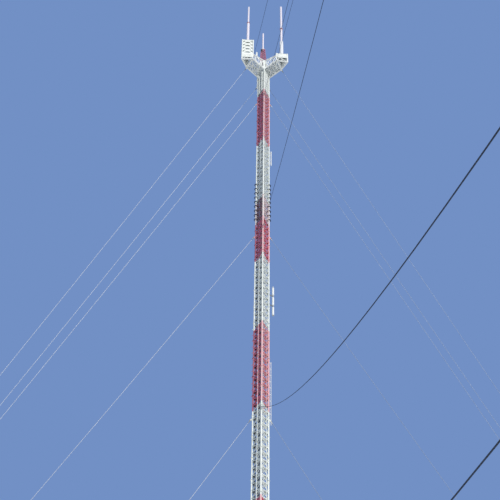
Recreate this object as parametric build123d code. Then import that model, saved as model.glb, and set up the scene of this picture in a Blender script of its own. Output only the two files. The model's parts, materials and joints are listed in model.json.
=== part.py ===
from build123d import *
import math
import os

# Scale model, 1:20, of a tall guyed lattice mast with a three-armed top.
# Millimetres, +Z up. The origin is on the flat underside of the base pier, under the mast's axis.
# One corner of the triangular mast, the near leg, points along -Y.

# Mast shaft
FACE_WIDTH = 150.0          # from leg axis to leg axis
LEG_RADIUS = 8.0
SHAFT_FOOT = 350.0          # height at which the three legs start
BAY_HEIGHT = 107.4
BAYS_PER_SECTION = 62
SECTIONS = ["lower", "middle", "upper"]
BRACE_WIDTH = 8.5
BRACE_RIDGE = 3.5           # from a diagonal's flat back to its ridge
BRACE_GAP = 0.3             # between the layers of bracing, and from a brace tip to its leg
GIRT_HEIGHT = 7.5
GIRT_THICKNESS = 2.0
GIRT_EVERY = 12             # bays from one horizontal of the shaft to the next
ROUND_SIDES = 12            # sides of tubes, drums and rods

# Foot, bearing and pier
PIER_BASE_WIDTH = 420.0
PIER_BASE_HEIGHT = 30.0
PIER_WIDTH = 260.0
PIER_TOP = 75.0
PIER_CHAMFER = 8.0
BEARING_PLATE_WIDTH = 150.0
BEARING_PLATE_THICKNESS = 8.0
BEARING_STEPS = [(44.0, 8.0), (32.0, 10.0), (22.0, 6.0)]     # (radius, height) from the bottom up
HUB_RADIUS = 34.0
HUB_THICKNESS = 12.0
FOOT_STRUT_WIDTH = 12.0
FOOT_PLATE_THICKNESS = 8.0
FOOT_PLATE_MARGIN = 26.0    # from a leg's axis to the plate's corner
FOOT_PLATE_OPENING = 28.0   # from the axis to a corner of the plate's opening

# Guy levels on the legs, from the ground
OUTER_LEVELS = [19200.0, 15636.0]
INNER_LEVELS = [12166.0, 8875.0, 5590.0, 2400.0]
OUTER_RADIUS = 11920.0      # from the mast's axis to the outer anchors
INNER_RADIUS = 9743.0
STAY_DIAMETER = 3.4
STAY_RUNS = 5
STAY_SIDES = 4
OUTER_SAG = 0.0135          # sag at mid-span, as a share of the chord
INNER_SAG = 0.027
LUG_REACH = 16.0            # from the leg's surface to the lug's face
LUG_HEIGHT = 22.0
LUG_THICKNESS = 6.0

# Anchors
BLOCK_LENGTH = 400.0
BLOCK_WIDTH = 260.0
BLOCK_HEIGHT = 80.0
BLOCK_CHAMFER = 6.0
HEAD_FRONT = 24.0           # length of the anchor head's top
HEAD_FOOT = 110.0           # length of the anchor head's foot
HEAD_WIDTH = 40.0
HEAD_HEIGHT = 120.0
STAY_FOOT_TOP = 182.0       # height of the topmost stay's end
STAY_FOOT_STEP = 26.0       # from one stay's end to the next one down
TWIN_SPREAD = 20.0          # between the two top stays at an outer anchor

# Three-armed top
ARM_REACH = 274.0           # from the mast's axis to an antenna's axis
ARM_ROOT_DEPTH = 268.0      # between the chords' axes at a leg
ARM_END_DEPTH = 165.0       # the same at the guyed corner
CHORD = 15.0                # square bars of the arms
LACING = 8.0
TIP_DEPTH = {"left": 176.0, "right": 205.0, "back": 180.0}
EAR_REACH = 14.0
EAR_DROP = 34.0             # from the bottom chord's axis to the stay
EAR_HEIGHT = 44.0
FLOOR_THICKNESS = 2.0
FLOOR_END_GAP = 4.0         # from a walkway's end to the arm's first and last posts
TOP_PLATE_THICKNESS = 4.0
TOP_PLATE_MARGIN = 8.0      # from a leg's axis to the plate's corner
TOP_PLATE_OPENING = 62.0    # from the axis to a corner of the plate's opening
CAGE_LEG = 15.0
CAGE_BAR = 10.0
TALL_CAGE_HEIGHT = 488.0
TALL_CAGE_ROWS = 4
SHORT_CAGE_HEIGHT = 60.0
SHORT_CAGE_ROWS = 1
SPIRE_HEIGHT = 1235.0
SPIRE_TOP_WIDTH = 48.0
SPIRE_ROWS = 7
SPIRE_LEG = 12.0
SPIRE_BAR = 8.0
CAP_THICKNESS = 4.0
CAP_MARGIN = 9.0

# Antennas: (radius, length) of each stage from the bottom up
LEFT_STAGES = [(19.0, 715.0), (22.0, 14.0), (12.5, 630.0)]
RIGHT_STAGES = [(25.0, 520.0), (15.5, 470.0), (21.0, 16.0), (15.0, 860.0)]
BACK_STAGES = [(17.0, 55.0), (11.5, 570.0)]
POST_RADIUS = 11.0
POST_HEIGHT = 138.0
POST_REACH = 126.0          # from the near leg's axis, along the left arm's top chord

# Antennas beside the right leg
BAR_BOTTOM = 17450.0
BAR_LENGTH = 385.0
BAR_RADIUS = 6.0
BAR_OFFSET = 30.0
BAR_CLAMP_INSET = 58.0      # from an end of the bar antenna to its clamp
TRIPLE_BOTTOM = 14040.0
TRIPLE_LENGTH = 580.0
TRIPLE_COUNT = 3
TRIPLE_GAP = 24.0
TRIPLE_RADIUS = 11.0
TRIPLE_OFFSET = 54.0
CORE_RADIUS = 5.0
CLAMP_HEIGHT = 8.0
CLAMP_WIDTH = 7.0

# Lines inside the shaft
LADDER_RAIL = 4.0
LADDER_WIDTH = 36.0
LADDER_SETBACK = 48.0       # from the near leg's axis, towards the mast's axis
FEEDER = 7.0
FEEDER_PLACES = [-52.0, -43.0, -20.0, -11.0, -2.0]      # along the back face, from its middle
FEEDER_SETBACK = 18.0       # from the plane of the back face
LINE_HEADROOM = 24.0        # from the lines' top ends to the deck

DECK = SHAFT_FOOT + BAY_HEIGHT * BAYS_PER_SECTION * len(SECTIONS)
CORNER_RADIUS = FACE_WIDTH / math.sqrt(3)
FACE_RADIUS = CORNER_RADIUS / 2
INNER_POST = ARM_REACH - CORNER_RADIUS       # from the face to the inner posts of an arm's end
TIP_POST = ARM_REACH - FACE_RADIUS + CORNER_RADIUS

UP = Vector(0, 0, 1)
AXIS = Vector(0, 0, 0)


def heading(degrees):
    """Level unit vector; 0 is -Y and 90 is +X."""
    angle = math.radians(degrees)
    return Vector(math.sin(angle), -math.cos(angle), 0)


LEG_HEADING = {"near": 0.0, "left": -120.0, "right": 120.0}
LEG = {name: heading(angle) * CORNER_RADIUS for name, angle in LEG_HEADING.items()}
# A face is named by its side, with its two legs in clockwise order from above.
FACES = {"left": ("near", "left"), "back": ("left", "right"), "right": ("right", "near")}
ARM_HEADING = {"left": -60.0, "back": 180.0, "right": 60.0}


def at(plan, height):
    return Vector(plan.X, plan.Y, height)


def bar(start, end, size, depth=None, facing=Vector(1, 0, 0)):
    """Square or flat bar from one point to another; facing turns an upright bar."""
    run = end - start
    along = run.normalized()
    level = UP.cross(along)
    x_dir = level if level.length > 1e-6 else facing
    plane = Plane(origin=start, x_dir=x_dir, z_dir=along)
    return plane * Box(size, depth or size, run.length, align=(Align.CENTER, Align.CENTER, Align.MIN))


def fused(pieces):
    return pieces[0].fuse(*pieces[1:])


def save(shape, node):
    export_step(shape, f"parts/{node}.step")


def ring_plate(bottom, margin, opening, thickness):
    """Level three-cornered plate under or over the legs, with an opening of the same shape."""
    sides = []
    for radius in (CORNER_RADIUS + margin, opening):
        corners = [at(heading(angle) * radius, bottom) for angle in LEG_HEADING.values()]
        sides.append(Solid.extrude(Face(Wire.make_polygon(corners, close=True)), UP * thickness))
    return sides[0] - sides[1]


def round_bar(place, bottom, radius, height):
    """Upright tube, rod or drum, as a prism of many sides."""
    return Pos(*at(place, bottom)) * extrude(RegularPolygon(radius, ROUND_SIDES), height)


# Legs, with the guy lugs welded to them

def make_leg(name):
    outward = heading(LEG_HEADING[name])
    tube = round_bar(LEG[name], SHAFT_FOOT, LEG_RADIUS, DECK - SHAFT_FOOT)
    lugs = []
    for level in OUTER_LEVELS + INNER_LEVELS:
        plane = Plane(origin=at(LEG[name], level), x_dir=outward, z_dir=UP)
        lugs.append(plane * Pos((LEG_RADIUS + LUG_REACH) / 2, 0, 0)
                    * Box(LEG_RADIUS + LUG_REACH, LUG_THICKNESS, LUG_HEIGHT))
    return fused([tube] + lugs)


# Bracing: two zigzag layers that cross back to back, and level girts outside them

def face_plane(side):
    """Plane with x along the face, y out of the mast and z up."""
    first, second = FACES[side]
    along = (LEG[second] - LEG[first]).normalized()
    middle = (LEG[first] + LEG[second]) / 2
    return Plane(origin=middle, x_dir=along, z_dir=UP)


def zigzag(base, bottom, first_side, layer):
    """Three-sided bar bent into a zigzag over one section's bays; layer is 1 outside and -1 inside."""
    tip_x = FACE_WIDTH / 2 - LEG_RADIUS - BRACE_GAP
    rise = math.atan2(BAY_HEIGHT, 2 * (tip_x - BRACE_WIDTH))
    half_cut = BRACE_WIDTH / 2 / math.sin(rise)      # half of the bar's level width
    turn_x = tip_x - half_cut
    back_y = layer * BRACE_GAP / 2
    ridge_y = layer * (BRACE_GAP / 2 + BRACE_RIDGE)
    left_edge = []
    right_edge = []
    ridge = []
    for step in range(BAYS_PER_SECTION + 1):
        x = turn_x * (first_side if step % 2 == 0 else -first_side)
        height = bottom + step * BAY_HEIGHT
        if step == 0:
            height += BRACE_GAP
        if step == BAYS_PER_SECTION:
            height -= BRACE_GAP
        left_edge.append(base.from_local_coords(Vector(x - half_cut, back_y, height)))
        right_edge.append(base.from_local_coords(Vector(x + half_cut, back_y, height)))
        ridge.append(base.from_local_coords(Vector(x, ridge_y, height)))
    outlines = [left_edge + right_edge[::-1]]
    for step in range(BAYS_PER_SECTION):
        for edge in (left_edge, right_edge):
            outlines.append([edge[step], edge[step + 1], ridge[step + 1], ridge[step]])
    for end in (0, -1):
        outlines.append([left_edge[end], right_edge[end], ridge[end]])
    return Solid(Shell([Face(Wire.make_polygon(points, close=True)) for points in outlines]))


def make_bracing(side, section):
    first_bay = section * BAYS_PER_SECTION
    base = face_plane(side)
    solids = [zigzag(base, SHAFT_FOOT + first_bay * BAY_HEIGHT, layer, layer) for layer in (1, -1)]
    inner_y = BRACE_GAP / 2 + BRACE_RIDGE + BRACE_GAP
    leg_half = math.sqrt(LEG_RADIUS**2 - inner_y**2)  # half of a leg's width at the girts
    girt_length = FACE_WIDTH - 2 * (leg_half + BRACE_GAP)
    for count in range(first_bay + 1, first_bay + BAYS_PER_SECTION):
        if count % GIRT_EVERY == 0:
            girt = base * Pos(0, inner_y + GIRT_THICKNESS / 2, SHAFT_FOOT + count * BAY_HEIGHT)
            solids.append((girt * Box(girt_length, GIRT_THICKNESS, GIRT_HEIGHT)).solid())
    return Compound(children=solids)


# Pier, bearing and tapered foot

def make_pier():
    low = Box(PIER_BASE_WIDTH, PIER_BASE_WIDTH, PIER_BASE_HEIGHT,
              align=(Align.CENTER, Align.CENTER, Align.MIN))
    high = Box(PIER_WIDTH, PIER_WIDTH, PIER_TOP, align=(Align.CENTER, Align.CENTER, Align.MIN))
    return chamfer((low + high).edges().group_by(Axis.Z)[-1], PIER_CHAMFER)


def make_bearing():
    pieces = [Pos(0, 0, PIER_TOP) * Box(BEARING_PLATE_WIDTH, BEARING_PLATE_WIDTH, BEARING_PLATE_THICKNESS,
                                        align=(Align.CENTER, Align.CENTER, Align.MIN))]
    bottom = PIER_TOP + BEARING_PLATE_THICKNESS
    for radius, height in BEARING_STEPS:
        pieces.append(round_bar(AXIS, bottom, radius, height))
        bottom += height
    return fused(pieces)


def make_foot():
    hub_bottom = PIER_TOP + BEARING_PLATE_THICKNESS + sum(height for _, height in BEARING_STEPS)
    hub_top = hub_bottom + HUB_THICKNESS
    plate_bottom = SHAFT_FOOT - FOOT_PLATE_THICKNESS
    hub = round_bar(AXIS, hub_bottom, HUB_RADIUS, HUB_THICKNESS)
    ring = ring_plate(plate_bottom, FOOT_PLATE_MARGIN, FOOT_PLATE_OPENING, FOOT_PLATE_THICKNESS)
    struts = []
    middle = (hub_top + plate_bottom) / 2
    strut_root = HUB_RADIUS - FOOT_STRUT_WIDTH
    knees = {}
    for name in LEG:
        outward = heading(LEG_HEADING[name])
        low = at(outward * strut_root, hub_top - HUB_THICKNESS / 2)
        high = at(LEG[name], plate_bottom + FOOT_PLATE_THICKNESS / 2)
        struts.append(bar(low, high, FOOT_STRUT_WIDTH))
        knees[name] = low + (high - low) * ((middle - low.Z) / (high.Z - low.Z))
    ties = [bar(knees[a], knees[b], LACING) for a, b in FACES.values()]
    return fused([hub, ring] + struts + ties)


# Stays: taut ropes with a slight sag, as straight runs of a many-sided section

def stay(top, foot, sag):
    run = foot - top
    level = Vector(run.X, run.Y, 0).normalized()
    across = UP.cross(level)
    slope = run.length / Vector(run.X, run.Y, 0).length
    half = STAY_DIAMETER / 2
    turns = [2 * math.pi * k / STAY_SIDES for k in range(STAY_SIDES)]
    ring = [across * (half * math.cos(turn)) + UP * (half * slope * math.sin(turn)) for turn in turns]
    stations = []
    for step in range(STAY_RUNS + 1):
        share = step / STAY_RUNS
        drop = 4 * sag * run.length * share * (1 - share)
        stations.append(top + run * share - UP * drop)
    faces = []
    for here, there in zip(stations, stations[1:]):
        for k in range(STAY_SIDES):
            a, b = ring[k - 1], ring[k]
            faces.append(Face(Wire.make_polygon([here + a, here + b, there + b, there + a], close=True)))
    for end in (stations[0], stations[-1]):
        faces.append(Face(Wire.make_polygon([end + p for p in ring], close=True)))
    return Solid(Shell(faces))


def anchor_head(name, radius):
    """Steel head: an upright front face for the stays, and a raked back."""
    outward = heading(LEG_HEADING[name])
    base = Plane(origin=outward * radius, x_dir=outward, z_dir=UP)
    outline = [(0, 0), (HEAD_FOOT, 0), (HEAD_FRONT, HEAD_HEIGHT), (0, HEAD_HEIGHT)]
    points = [base.from_local_coords(Vector(x, HEAD_WIDTH / 2, z + BLOCK_HEIGHT)) for x, z in outline]
    return Solid.extrude(Face(Wire.make_polygon(points, close=True)), base.y_dir * -HEAD_WIDTH)


def anchor_block(name, radius):
    outward = heading(LEG_HEADING[name])
    base = Plane(origin=outward * (radius + HEAD_FOOT / 2), x_dir=outward, z_dir=UP)
    block = Box(BLOCK_LENGTH, BLOCK_WIDTH, BLOCK_HEIGHT, align=(Align.CENTER, Align.CENTER, Align.MIN))
    return base * chamfer(block.edges().group_by(Axis.Z)[-1], BLOCK_CHAMFER)


def leg_stays(name, levels, radius, sag, first_foot):
    outward = heading(LEG_HEADING[name])
    start = LEG[name] + outward * (LEG_RADIUS + LUG_REACH + BRACE_GAP)
    end = outward * (radius - BRACE_GAP)
    return [stay(at(start, level), at(end, first_foot - k * STAY_FOOT_STEP), sag)
            for k, level in enumerate(levels)]


def arm_low(reach):
    """Height of an arm's bottom chord at a distance from its leg's axis."""
    return DECK - ARM_ROOT_DEPTH + (ARM_ROOT_DEPTH - ARM_END_DEPTH) * reach / INNER_POST


def arm_corner(side, leg):
    """Where a stay meets an arm: under the end of the bottom chord that starts at the given leg."""
    return at(LEG[leg] + heading(ARM_HEADING[side]) * INNER_POST, arm_low(INNER_POST) - EAR_DROP)


def ear_heading(side, leg):
    foot = heading(LEG_HEADING[leg]) * OUTER_RADIUS
    corner = arm_corner(side, leg)
    return Vector(foot.X - corner.X, foot.Y - corner.Y, 0).normalized()


def top_stays(leg):
    outward = heading(LEG_HEADING[leg])
    across = UP.cross(outward)
    stays = []
    for side in ARM_HEADING:
        if leg not in FACES[side]:
            continue
        level = ear_heading(side, leg)
        corner = arm_corner(side, leg)
        start = corner + level * (EAR_REACH + BRACE_GAP)
        shift = TWIN_SPREAD / 2 if (corner - at(LEG[leg], corner.Z)).dot(across) > 0 else -TWIN_SPREAD / 2
        end = outward * (OUTER_RADIUS - BRACE_GAP) + across * shift
        stays.append(stay(start, at(end, STAY_FOOT_TOP), OUTER_SAG))
    return stays


# Arms of the top: two side trusses that grow shallower outwards, joined by cross bars, with a pointed end

def make_arm(side):
    first, second = FACES[side]
    out = heading(ARM_HEADING[side])
    tip = out * (FACE_RADIUS + TIP_POST)
    tip_low = DECK - TIP_DEPTH[side]
    root_reach = LEG_RADIUS + BRACE_GAP + LACING / 2
    root_low = arm_low(root_reach)
    middle_low = arm_low(INNER_POST / 2)
    end_low = arm_low(INNER_POST)
    half_chord = CHORD / 2
    pieces = []
    frames = []                 # the two legs' points at the middle and at the end of the arm
    for reach in (INNER_POST / 2, INNER_POST):
        frames.append([LEG[leg] + out * reach for leg in (first, second)])
    for index, leg in enumerate((first, second)):
        root = LEG[leg] + out * root_reach
        middle = frames[0][index]
        end = frames[1][index]
        pieces.append(bar(at(root, root_low - half_chord), at(root, DECK + half_chord), LACING, facing=out))
        pieces.append(bar(at(root, DECK), at(end, DECK), CHORD))
        pieces.append(bar(at(root, root_low), at(end, end_low), CHORD))
        pieces.append(bar(at(middle, middle_low), at(middle, DECK), LACING, facing=out))
        pieces.append(bar(at(end, end_low - half_chord), at(end, DECK + half_chord), CHORD, facing=out))
        pieces.append(bar(at(root, root_low), at(middle, DECK), LACING))
        pieces.append(bar(at(middle, DECK), at(end, end_low), LACING))
        ear = Plane(origin=at(end, end_low), x_dir=ear_heading(side, leg), z_dir=UP)
        pieces.append(ear * Pos(EAR_REACH / 2, 0, 0) * Box(EAR_REACH, LUG_THICKNESS, EAR_HEIGHT,
                                                           align=(Align.CENTER, Align.CENTER, Align.MAX)))
        # The pointed end
        pieces.append(bar(at(end, DECK), at(tip, DECK), CHORD))
        pieces.append(bar(at(end, end_low), at(tip, tip_low), CHORD))
        pieces.append(bar(at(end, DECK), at(tip, tip_low), LACING))
    pieces.append(bar(at(tip, tip_low - half_chord), at(tip, DECK + half_chord), CHORD, facing=out))
    for (one, other), low, size in zip(frames, (middle_low, end_low), (LACING, CHORD)):
        pieces.append(bar(at(one, DECK), at(other, DECK), LACING))
        pieces.append(bar(at(one, low), at(other, low), size))
    one, other = frames[1]
    pieces.append(bar(at(other, end_low), at(one, DECK), LACING))
    return fused(pieces)


def make_floor(side):
    """Thin walkway in two lengths on the arm's sloping bottom chords."""
    out = heading(ARM_HEADING[side])
    root = out * FACE_RADIUS
    rise = (at(root + out * INNER_POST, arm_low(INNER_POST)) - at(root, arm_low(0))).normalized()
    square_up = rise.cross(UP.cross(rise)).normalized()
    lift = CHORD / 2 + BRACE_GAP + FLOOR_THICKNESS / 2
    width = FACE_WIDTH - LACING - 2 * BRACE_GAP
    start = LEG_RADIUS + LACING + FLOOR_END_GAP
    middle = INNER_POST / 2
    end = INNER_POST - CHORD / 2 - FLOOR_END_GAP
    floors = []
    for near, far in ((start, middle - BRACE_GAP), (middle + BRACE_GAP, end)):
        reach = (near + far) / 2
        centre = at(root + out * reach, arm_low(reach)) + square_up * lift
        plane = Plane(origin=centre, x_dir=rise, z_dir=square_up)
        length = (far - near) / rise.dot(out)
        floors.append((plane * Box(length, width, FLOOR_THICKNESS)).solid())
    return floors


def cage_posts(side, width):
    """Plan points of a triangular cage over an arm's end: its tip, then its two inner posts."""
    centre = heading(ARM_HEADING[side]) * ARM_REACH
    radius = width / math.sqrt(3)
    return [centre + heading(ARM_HEADING[side] + turn) * radius for turn in (0, 120, 240)]


def make_cage(side, height, rows, top_width, leg_size, bar_size, peaked=False):
    """Three posts with rings; each field has a single diagonal, or two that meet at its top if peaked."""
    bottom = DECK + CHORD / 2 + BRACE_GAP
    posts = cage_posts(side, FACE_WIDTH)
    tops = cage_posts(side, top_width)
    pieces = []
    levels = []
    for row in range(rows + 1):
        share = row / rows
        ring_height = bottom + bar_size / 2 + (height - bar_size) * share
        levels.append([at(low + (high - low) * share, ring_height) for low, high in zip(posts, tops)])
    for k in range(3):
        pieces.append(bar(at(posts[k], bottom), at(tops[k], bottom + height), leg_size))
    for row, ring in enumerate(levels):
        for k in range(3):
            pieces.append(bar(ring[k], ring[(k + 1) % 3], bar_size))
            if row == rows:
                continue
            here = (ring[k], ring[(k + 1) % 3])
            above = (levels[row + 1][k], levels[row + 1][(k + 1) % 3])
            if peaked:
                peak = (above[0] + above[1]) / 2
                pieces.extend(bar(corner, peak, bar_size) for corner in here)
            else:
                side_up = row % 2
                pieces.append(bar(here[side_up], above[1 - side_up], bar_size))
    cage = fused(pieces)
    slab = Pos(0, 0, bottom) * Box(4 * ARM_REACH, 4 * ARM_REACH, height + 2 * leg_size,
                                   align=(Align.CENTER, Align.CENTER, Align.MIN))
    return cage & slab


def cap_plate(side, height, width):
    """Plate on top of a cage, which carries the antenna."""
    corners = cage_posts(side, width)
    bottom = DECK + CHORD / 2 + 2 * BRACE_GAP + height
    face = Face(Wire.make_polygon([at(p, bottom) for p in corners], close=True))
    return Solid.extrude(face, UP * CAP_THICKNESS), bottom + CAP_THICKNESS


def make_antenna(side, bottom, stages):
    place = heading(ARM_HEADING[side]) * ARM_REACH
    base = bottom + BRACE_GAP
    rods = []
    for radius, length in stages:
        rods.append(round_bar(place, base, radius, length))
        base += length
    return fused(rods)


def make_top_plate():
    """Plate on the tops of the three legs, which ties them together."""
    return ring_plate(DECK, TOP_PLATE_MARGIN, TOP_PLATE_OPENING, TOP_PLATE_THICKNESS)


def make_post():
    root = LEG["near"]
    place = root + heading(ARM_HEADING["left"]) * POST_REACH
    bottom = DECK + CHORD / 2 + BRACE_GAP
    return round_bar(place, bottom, POST_RADIUS, POST_HEIGHT)


# Antennas clamped beside the right leg

def clamp(height, offset):
    outward = heading(LEG_HEADING["right"])
    start = at(LEG["right"] + outward * (LEG_RADIUS + BRACE_GAP), height)
    end = at(LEG["right"] + outward * offset, height)
    return bar(start, end, CLAMP_WIDTH, CLAMP_HEIGHT)


def make_bar_antenna():
    place = LEG["right"] + heading(LEG_HEADING["right"]) * BAR_OFFSET
    rod = round_bar(place, BAR_BOTTOM, BAR_RADIUS, BAR_LENGTH)
    heights = (BAR_BOTTOM + BAR_CLAMP_INSET, BAR_BOTTOM + BAR_LENGTH - BAR_CLAMP_INSET)
    return fused([rod] + [clamp(height, BAR_OFFSET) for height in heights])


def make_triple_antenna():
    place = LEG["right"] + heading(LEG_HEADING["right"]) * TRIPLE_OFFSET
    gaps = TRIPLE_COUNT - 1
    drum = (TRIPLE_LENGTH - gaps * TRIPLE_GAP) / TRIPLE_COUNT
    pieces = [round_bar(place, TRIPLE_BOTTOM, CORE_RADIUS, TRIPLE_LENGTH)]
    for count in range(TRIPLE_COUNT):
        bottom = TRIPLE_BOTTOM + count * (drum + TRIPLE_GAP)
        pieces.append(round_bar(place, bottom, TRIPLE_RADIUS, drum))
        if count < gaps:
            pieces.append(clamp(bottom + drum + TRIPLE_GAP / 2, TRIPLE_OFFSET))
    return fused(pieces)


# Ladder and feeder lines inside the shaft, standing on the foot's plate

def long_bar(x, y, size):
    height = DECK - LINE_HEADROOM - SHAFT_FOOT - BRACE_GAP
    return (Pos(x, y, SHAFT_FOOT + BRACE_GAP) * Box(size, size, height,
                                                    align=(Align.CENTER, Align.CENTER, Align.MIN))).solid()


def make_ladder():
    y = LEG["near"].Y + LADDER_SETBACK
    return [long_bar(x, y, LADDER_RAIL) for x in (-LADDER_WIDTH / 2, LADDER_WIDTH / 2)]


def make_feeders():
    return [long_bar(place, FACE_RADIUS - FEEDER_SETBACK, FEEDER) for place in FEEDER_PLACES]


def main():
    os.makedirs("parts", exist_ok=True)
    save(make_pier(), "base_pier")
    save(make_bearing(), "base_bearing")
    save(make_foot(), "tapered_foot")
    for name in LEG:
        save(make_leg(name), f"leg_{name}")
    for side in FACES:
        for section, word in enumerate(SECTIONS):
            save(make_bracing(side, section), f"bracing_{side}_{word}")
        save(make_arm(side), f"arm_{side}")
        save(Compound(children=make_floor(side)), f"floor_{side}")
    save(make_top_plate(), "top_plate")

    save(make_cage("left", TALL_CAGE_HEIGHT, TALL_CAGE_ROWS, FACE_WIDTH, CAGE_LEG, CAGE_BAR, peaked=True),
         "tall_cage")
    save(make_cage("right", SHORT_CAGE_HEIGHT, SHORT_CAGE_ROWS, FACE_WIDTH, CAGE_LEG, CAGE_BAR), "short_cage")
    save(make_cage("back", SPIRE_HEIGHT, SPIRE_ROWS, SPIRE_TOP_WIDTH, SPIRE_LEG, SPIRE_BAR), "spire")
    mounts = {"left": (TALL_CAGE_HEIGHT, FACE_WIDTH, LEFT_STAGES),
              "right": (SHORT_CAGE_HEIGHT, FACE_WIDTH, RIGHT_STAGES),
              "back": (SPIRE_HEIGHT, SPIRE_TOP_WIDTH, BACK_STAGES)}
    for side, (height, width, stages) in mounts.items():
        plate, seat = cap_plate(side, height, width + 2 * CAP_MARGIN)
        save(plate, f"cap_plate_{side}")
        save(make_antenna(side, seat, stages), f"antenna_{side}")
    save(make_post(), "deck_post")
    save(make_bar_antenna(), "bar_antenna")
    save(make_triple_antenna(), "triple_antenna")
    save(Compound(children=make_ladder()), "ladder_rails")
    save(Compound(children=make_feeders()), "feeder_lines")

    for name in LEG:
        outer = top_stays(name) + leg_stays(name, OUTER_LEVELS, OUTER_RADIUS, OUTER_SAG,
                                            STAY_FOOT_TOP - STAY_FOOT_STEP)
        inner = leg_stays(name, INNER_LEVELS, INNER_RADIUS, INNER_SAG, STAY_FOOT_TOP)
        save(Compound(children=outer + [anchor_head(name, OUTER_RADIUS)]), f"stays_outer_{name}")
        save(Compound(children=inner + [anchor_head(name, INNER_RADIUS)]), f"stays_inner_{name}")
        save(anchor_block(name, OUTER_RADIUS), f"anchor_outer_{name}")
        save(anchor_block(name, INNER_RADIUS), f"anchor_inner_{name}")


main()
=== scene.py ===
import json
import math
import bpy
from mathutils import Matrix, Vector


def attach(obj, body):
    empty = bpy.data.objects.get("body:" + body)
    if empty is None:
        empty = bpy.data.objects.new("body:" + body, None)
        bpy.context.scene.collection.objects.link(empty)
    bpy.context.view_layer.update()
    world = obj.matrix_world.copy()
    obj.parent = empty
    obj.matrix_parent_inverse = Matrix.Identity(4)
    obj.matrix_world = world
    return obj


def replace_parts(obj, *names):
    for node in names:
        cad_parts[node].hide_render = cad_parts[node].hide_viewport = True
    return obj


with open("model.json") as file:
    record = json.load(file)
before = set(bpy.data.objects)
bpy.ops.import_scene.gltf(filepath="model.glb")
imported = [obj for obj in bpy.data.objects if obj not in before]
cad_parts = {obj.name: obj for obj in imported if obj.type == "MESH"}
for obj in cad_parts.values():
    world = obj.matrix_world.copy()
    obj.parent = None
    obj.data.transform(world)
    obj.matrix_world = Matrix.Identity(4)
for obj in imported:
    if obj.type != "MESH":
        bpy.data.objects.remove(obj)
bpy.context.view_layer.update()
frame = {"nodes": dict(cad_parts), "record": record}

# Metres, in the frame's own axes. The near leg of the mast points along -Y.
# Many small fittings carry their own sizes where they are drawn.
FACE_WIDTH = 0.150
LEG_RADIUS = 0.0080
SHAFT_FOOT = 0.350
BAY_HEIGHT = 0.1074
BAYS_PER_SECTION = 62
SECTIONS = ["lower", "middle", "upper"]
BAYS = BAYS_PER_SECTION * len(SECTIONS)
DECK = SHAFT_FOOT + BAY_HEIGHT * BAYS_PER_SECTION * len(SECTIONS)
CORNER_RADIUS = FACE_WIDTH / math.sqrt(3)
FACE_RADIUS = CORNER_RADIUS / 2
LEG_HEADING = {"near": 0.0, "left": -120.0, "right": 120.0}
FACES = {"left": ("near", "left"), "back": ("left", "right"), "right": ("right", "near")}
UP = Vector((0.0, 0.0, 1.0))
CORNERS = ((-1, -1), (1, -1), (1, 1), (-1, 1))

# Heights at which the paint changes, from the top down; below the last one the bands are even
BAND_EDGES = [19.395, 17.936, 16.420, 15.065, 13.681, 12.280, 10.893]
BAND_HEIGHT = 1.417
SPIRE_BAND_EDGE = 21.120    # white below, red above
# Zones where the red is mixed towards another colour: lowest and highest point, how far it is mixed, and the
# colour it goes to. On the shaded faces the mix is painted shade, a darker red; on the sunlit right face it is
# partly faded paint and partly painted light, a paler red; on the legs the red is paler in one zone.
PALE_TINT = (0.88, 0.90, 0.88)
# Painted shade: the dark red that the zone goes to on the shaded faces
PAINTED_SHADE_RED = (0.20, 0.140, 0.160)
PAINTED_SHADE_ZONES = [(15.900, 16.420, 0.85, PAINTED_SHADE_RED)]
# Paler red on the sunlit right face: partly faded paint, partly painted light
FADE_AND_SUNLIGHT_ZONES = [(17.936, 19.395, 0.17, PALE_TINT), (15.900, 16.420, 0.68, PALE_TINT),
             (12.280, 13.681, 0.22, PALE_TINT)]
LEG_PALE_ZONES = [(15.900, 16.420, 0.68, PALE_TINT)]

# Bracing: angle bars bolted to gusset plates on the legs
ANGLE_WIDTH = 0.0122
ANGLE_STAND = 0.0045        # the leg that stands out of the face
ANGLE_THICKNESS = 0.0009
ANGLE_TRIM = 0.0068         # from a bay's line to a diagonal's end
ANGLE_SETBACK = 0.007       # from a leg's surface to a diagonal's end
GUSSET_REACH = 0.029        # from the leg's axis
GUSSET_HEIGHT = 0.040
GUSSET_THICKNESS = 0.0006
BOLT_RADIUS = 0.0010
BOLT_HEIGHT = 0.0008
BOLT_PITCH = 0.0055
FLANGE_EVERY = 3            # bays from one joint of the legs to the next
FLANGE_RADIUS = 0.0130
FLANGE_THICKNESS = 0.0013
FLANGE_BOLTS = 8

# Sides of round pieces
TUBE_SIDES = 24
CHORD_SIDES = 16
LACING_SIDES = 10
ROUND_SIDES = 32
WIRE_SIDES = 6

# Guy lugs on the legs, and the heads of the stays
OUTER_LEVELS = [19.200, 15.636]
INNER_LEVELS = [12.166, 8.875, 5.590, 2.400]
LUG_REACH = 0.016           # from the leg's surface to the stay's end
LUG_THICKNESS = 0.006
LUG_HEIGHT = 0.022

# Fittings of the shaft, by the heights that the photograph shows
RING_RANGE = (15.98, 16.93)
RING_RADIUS = 0.0165
RING_TUBE = 0.0042
RING_SHIFT = 0.004          # of a ring's centre from its leg's axis, outwards
STUB_RANGES = [(12.40, 13.70), (19.40, 20.10)]
STUB_REACH = 0.021          # from the left leg's axis
STUB_RADIUS = 0.0022
STUB_HEAD = 0.002
PIPE_RANGE = (12.10, 13.15)
PIPE_OFFSET = 0.0265        # from the right leg's axis
PIPE_RADIUS = 0.0030

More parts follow.
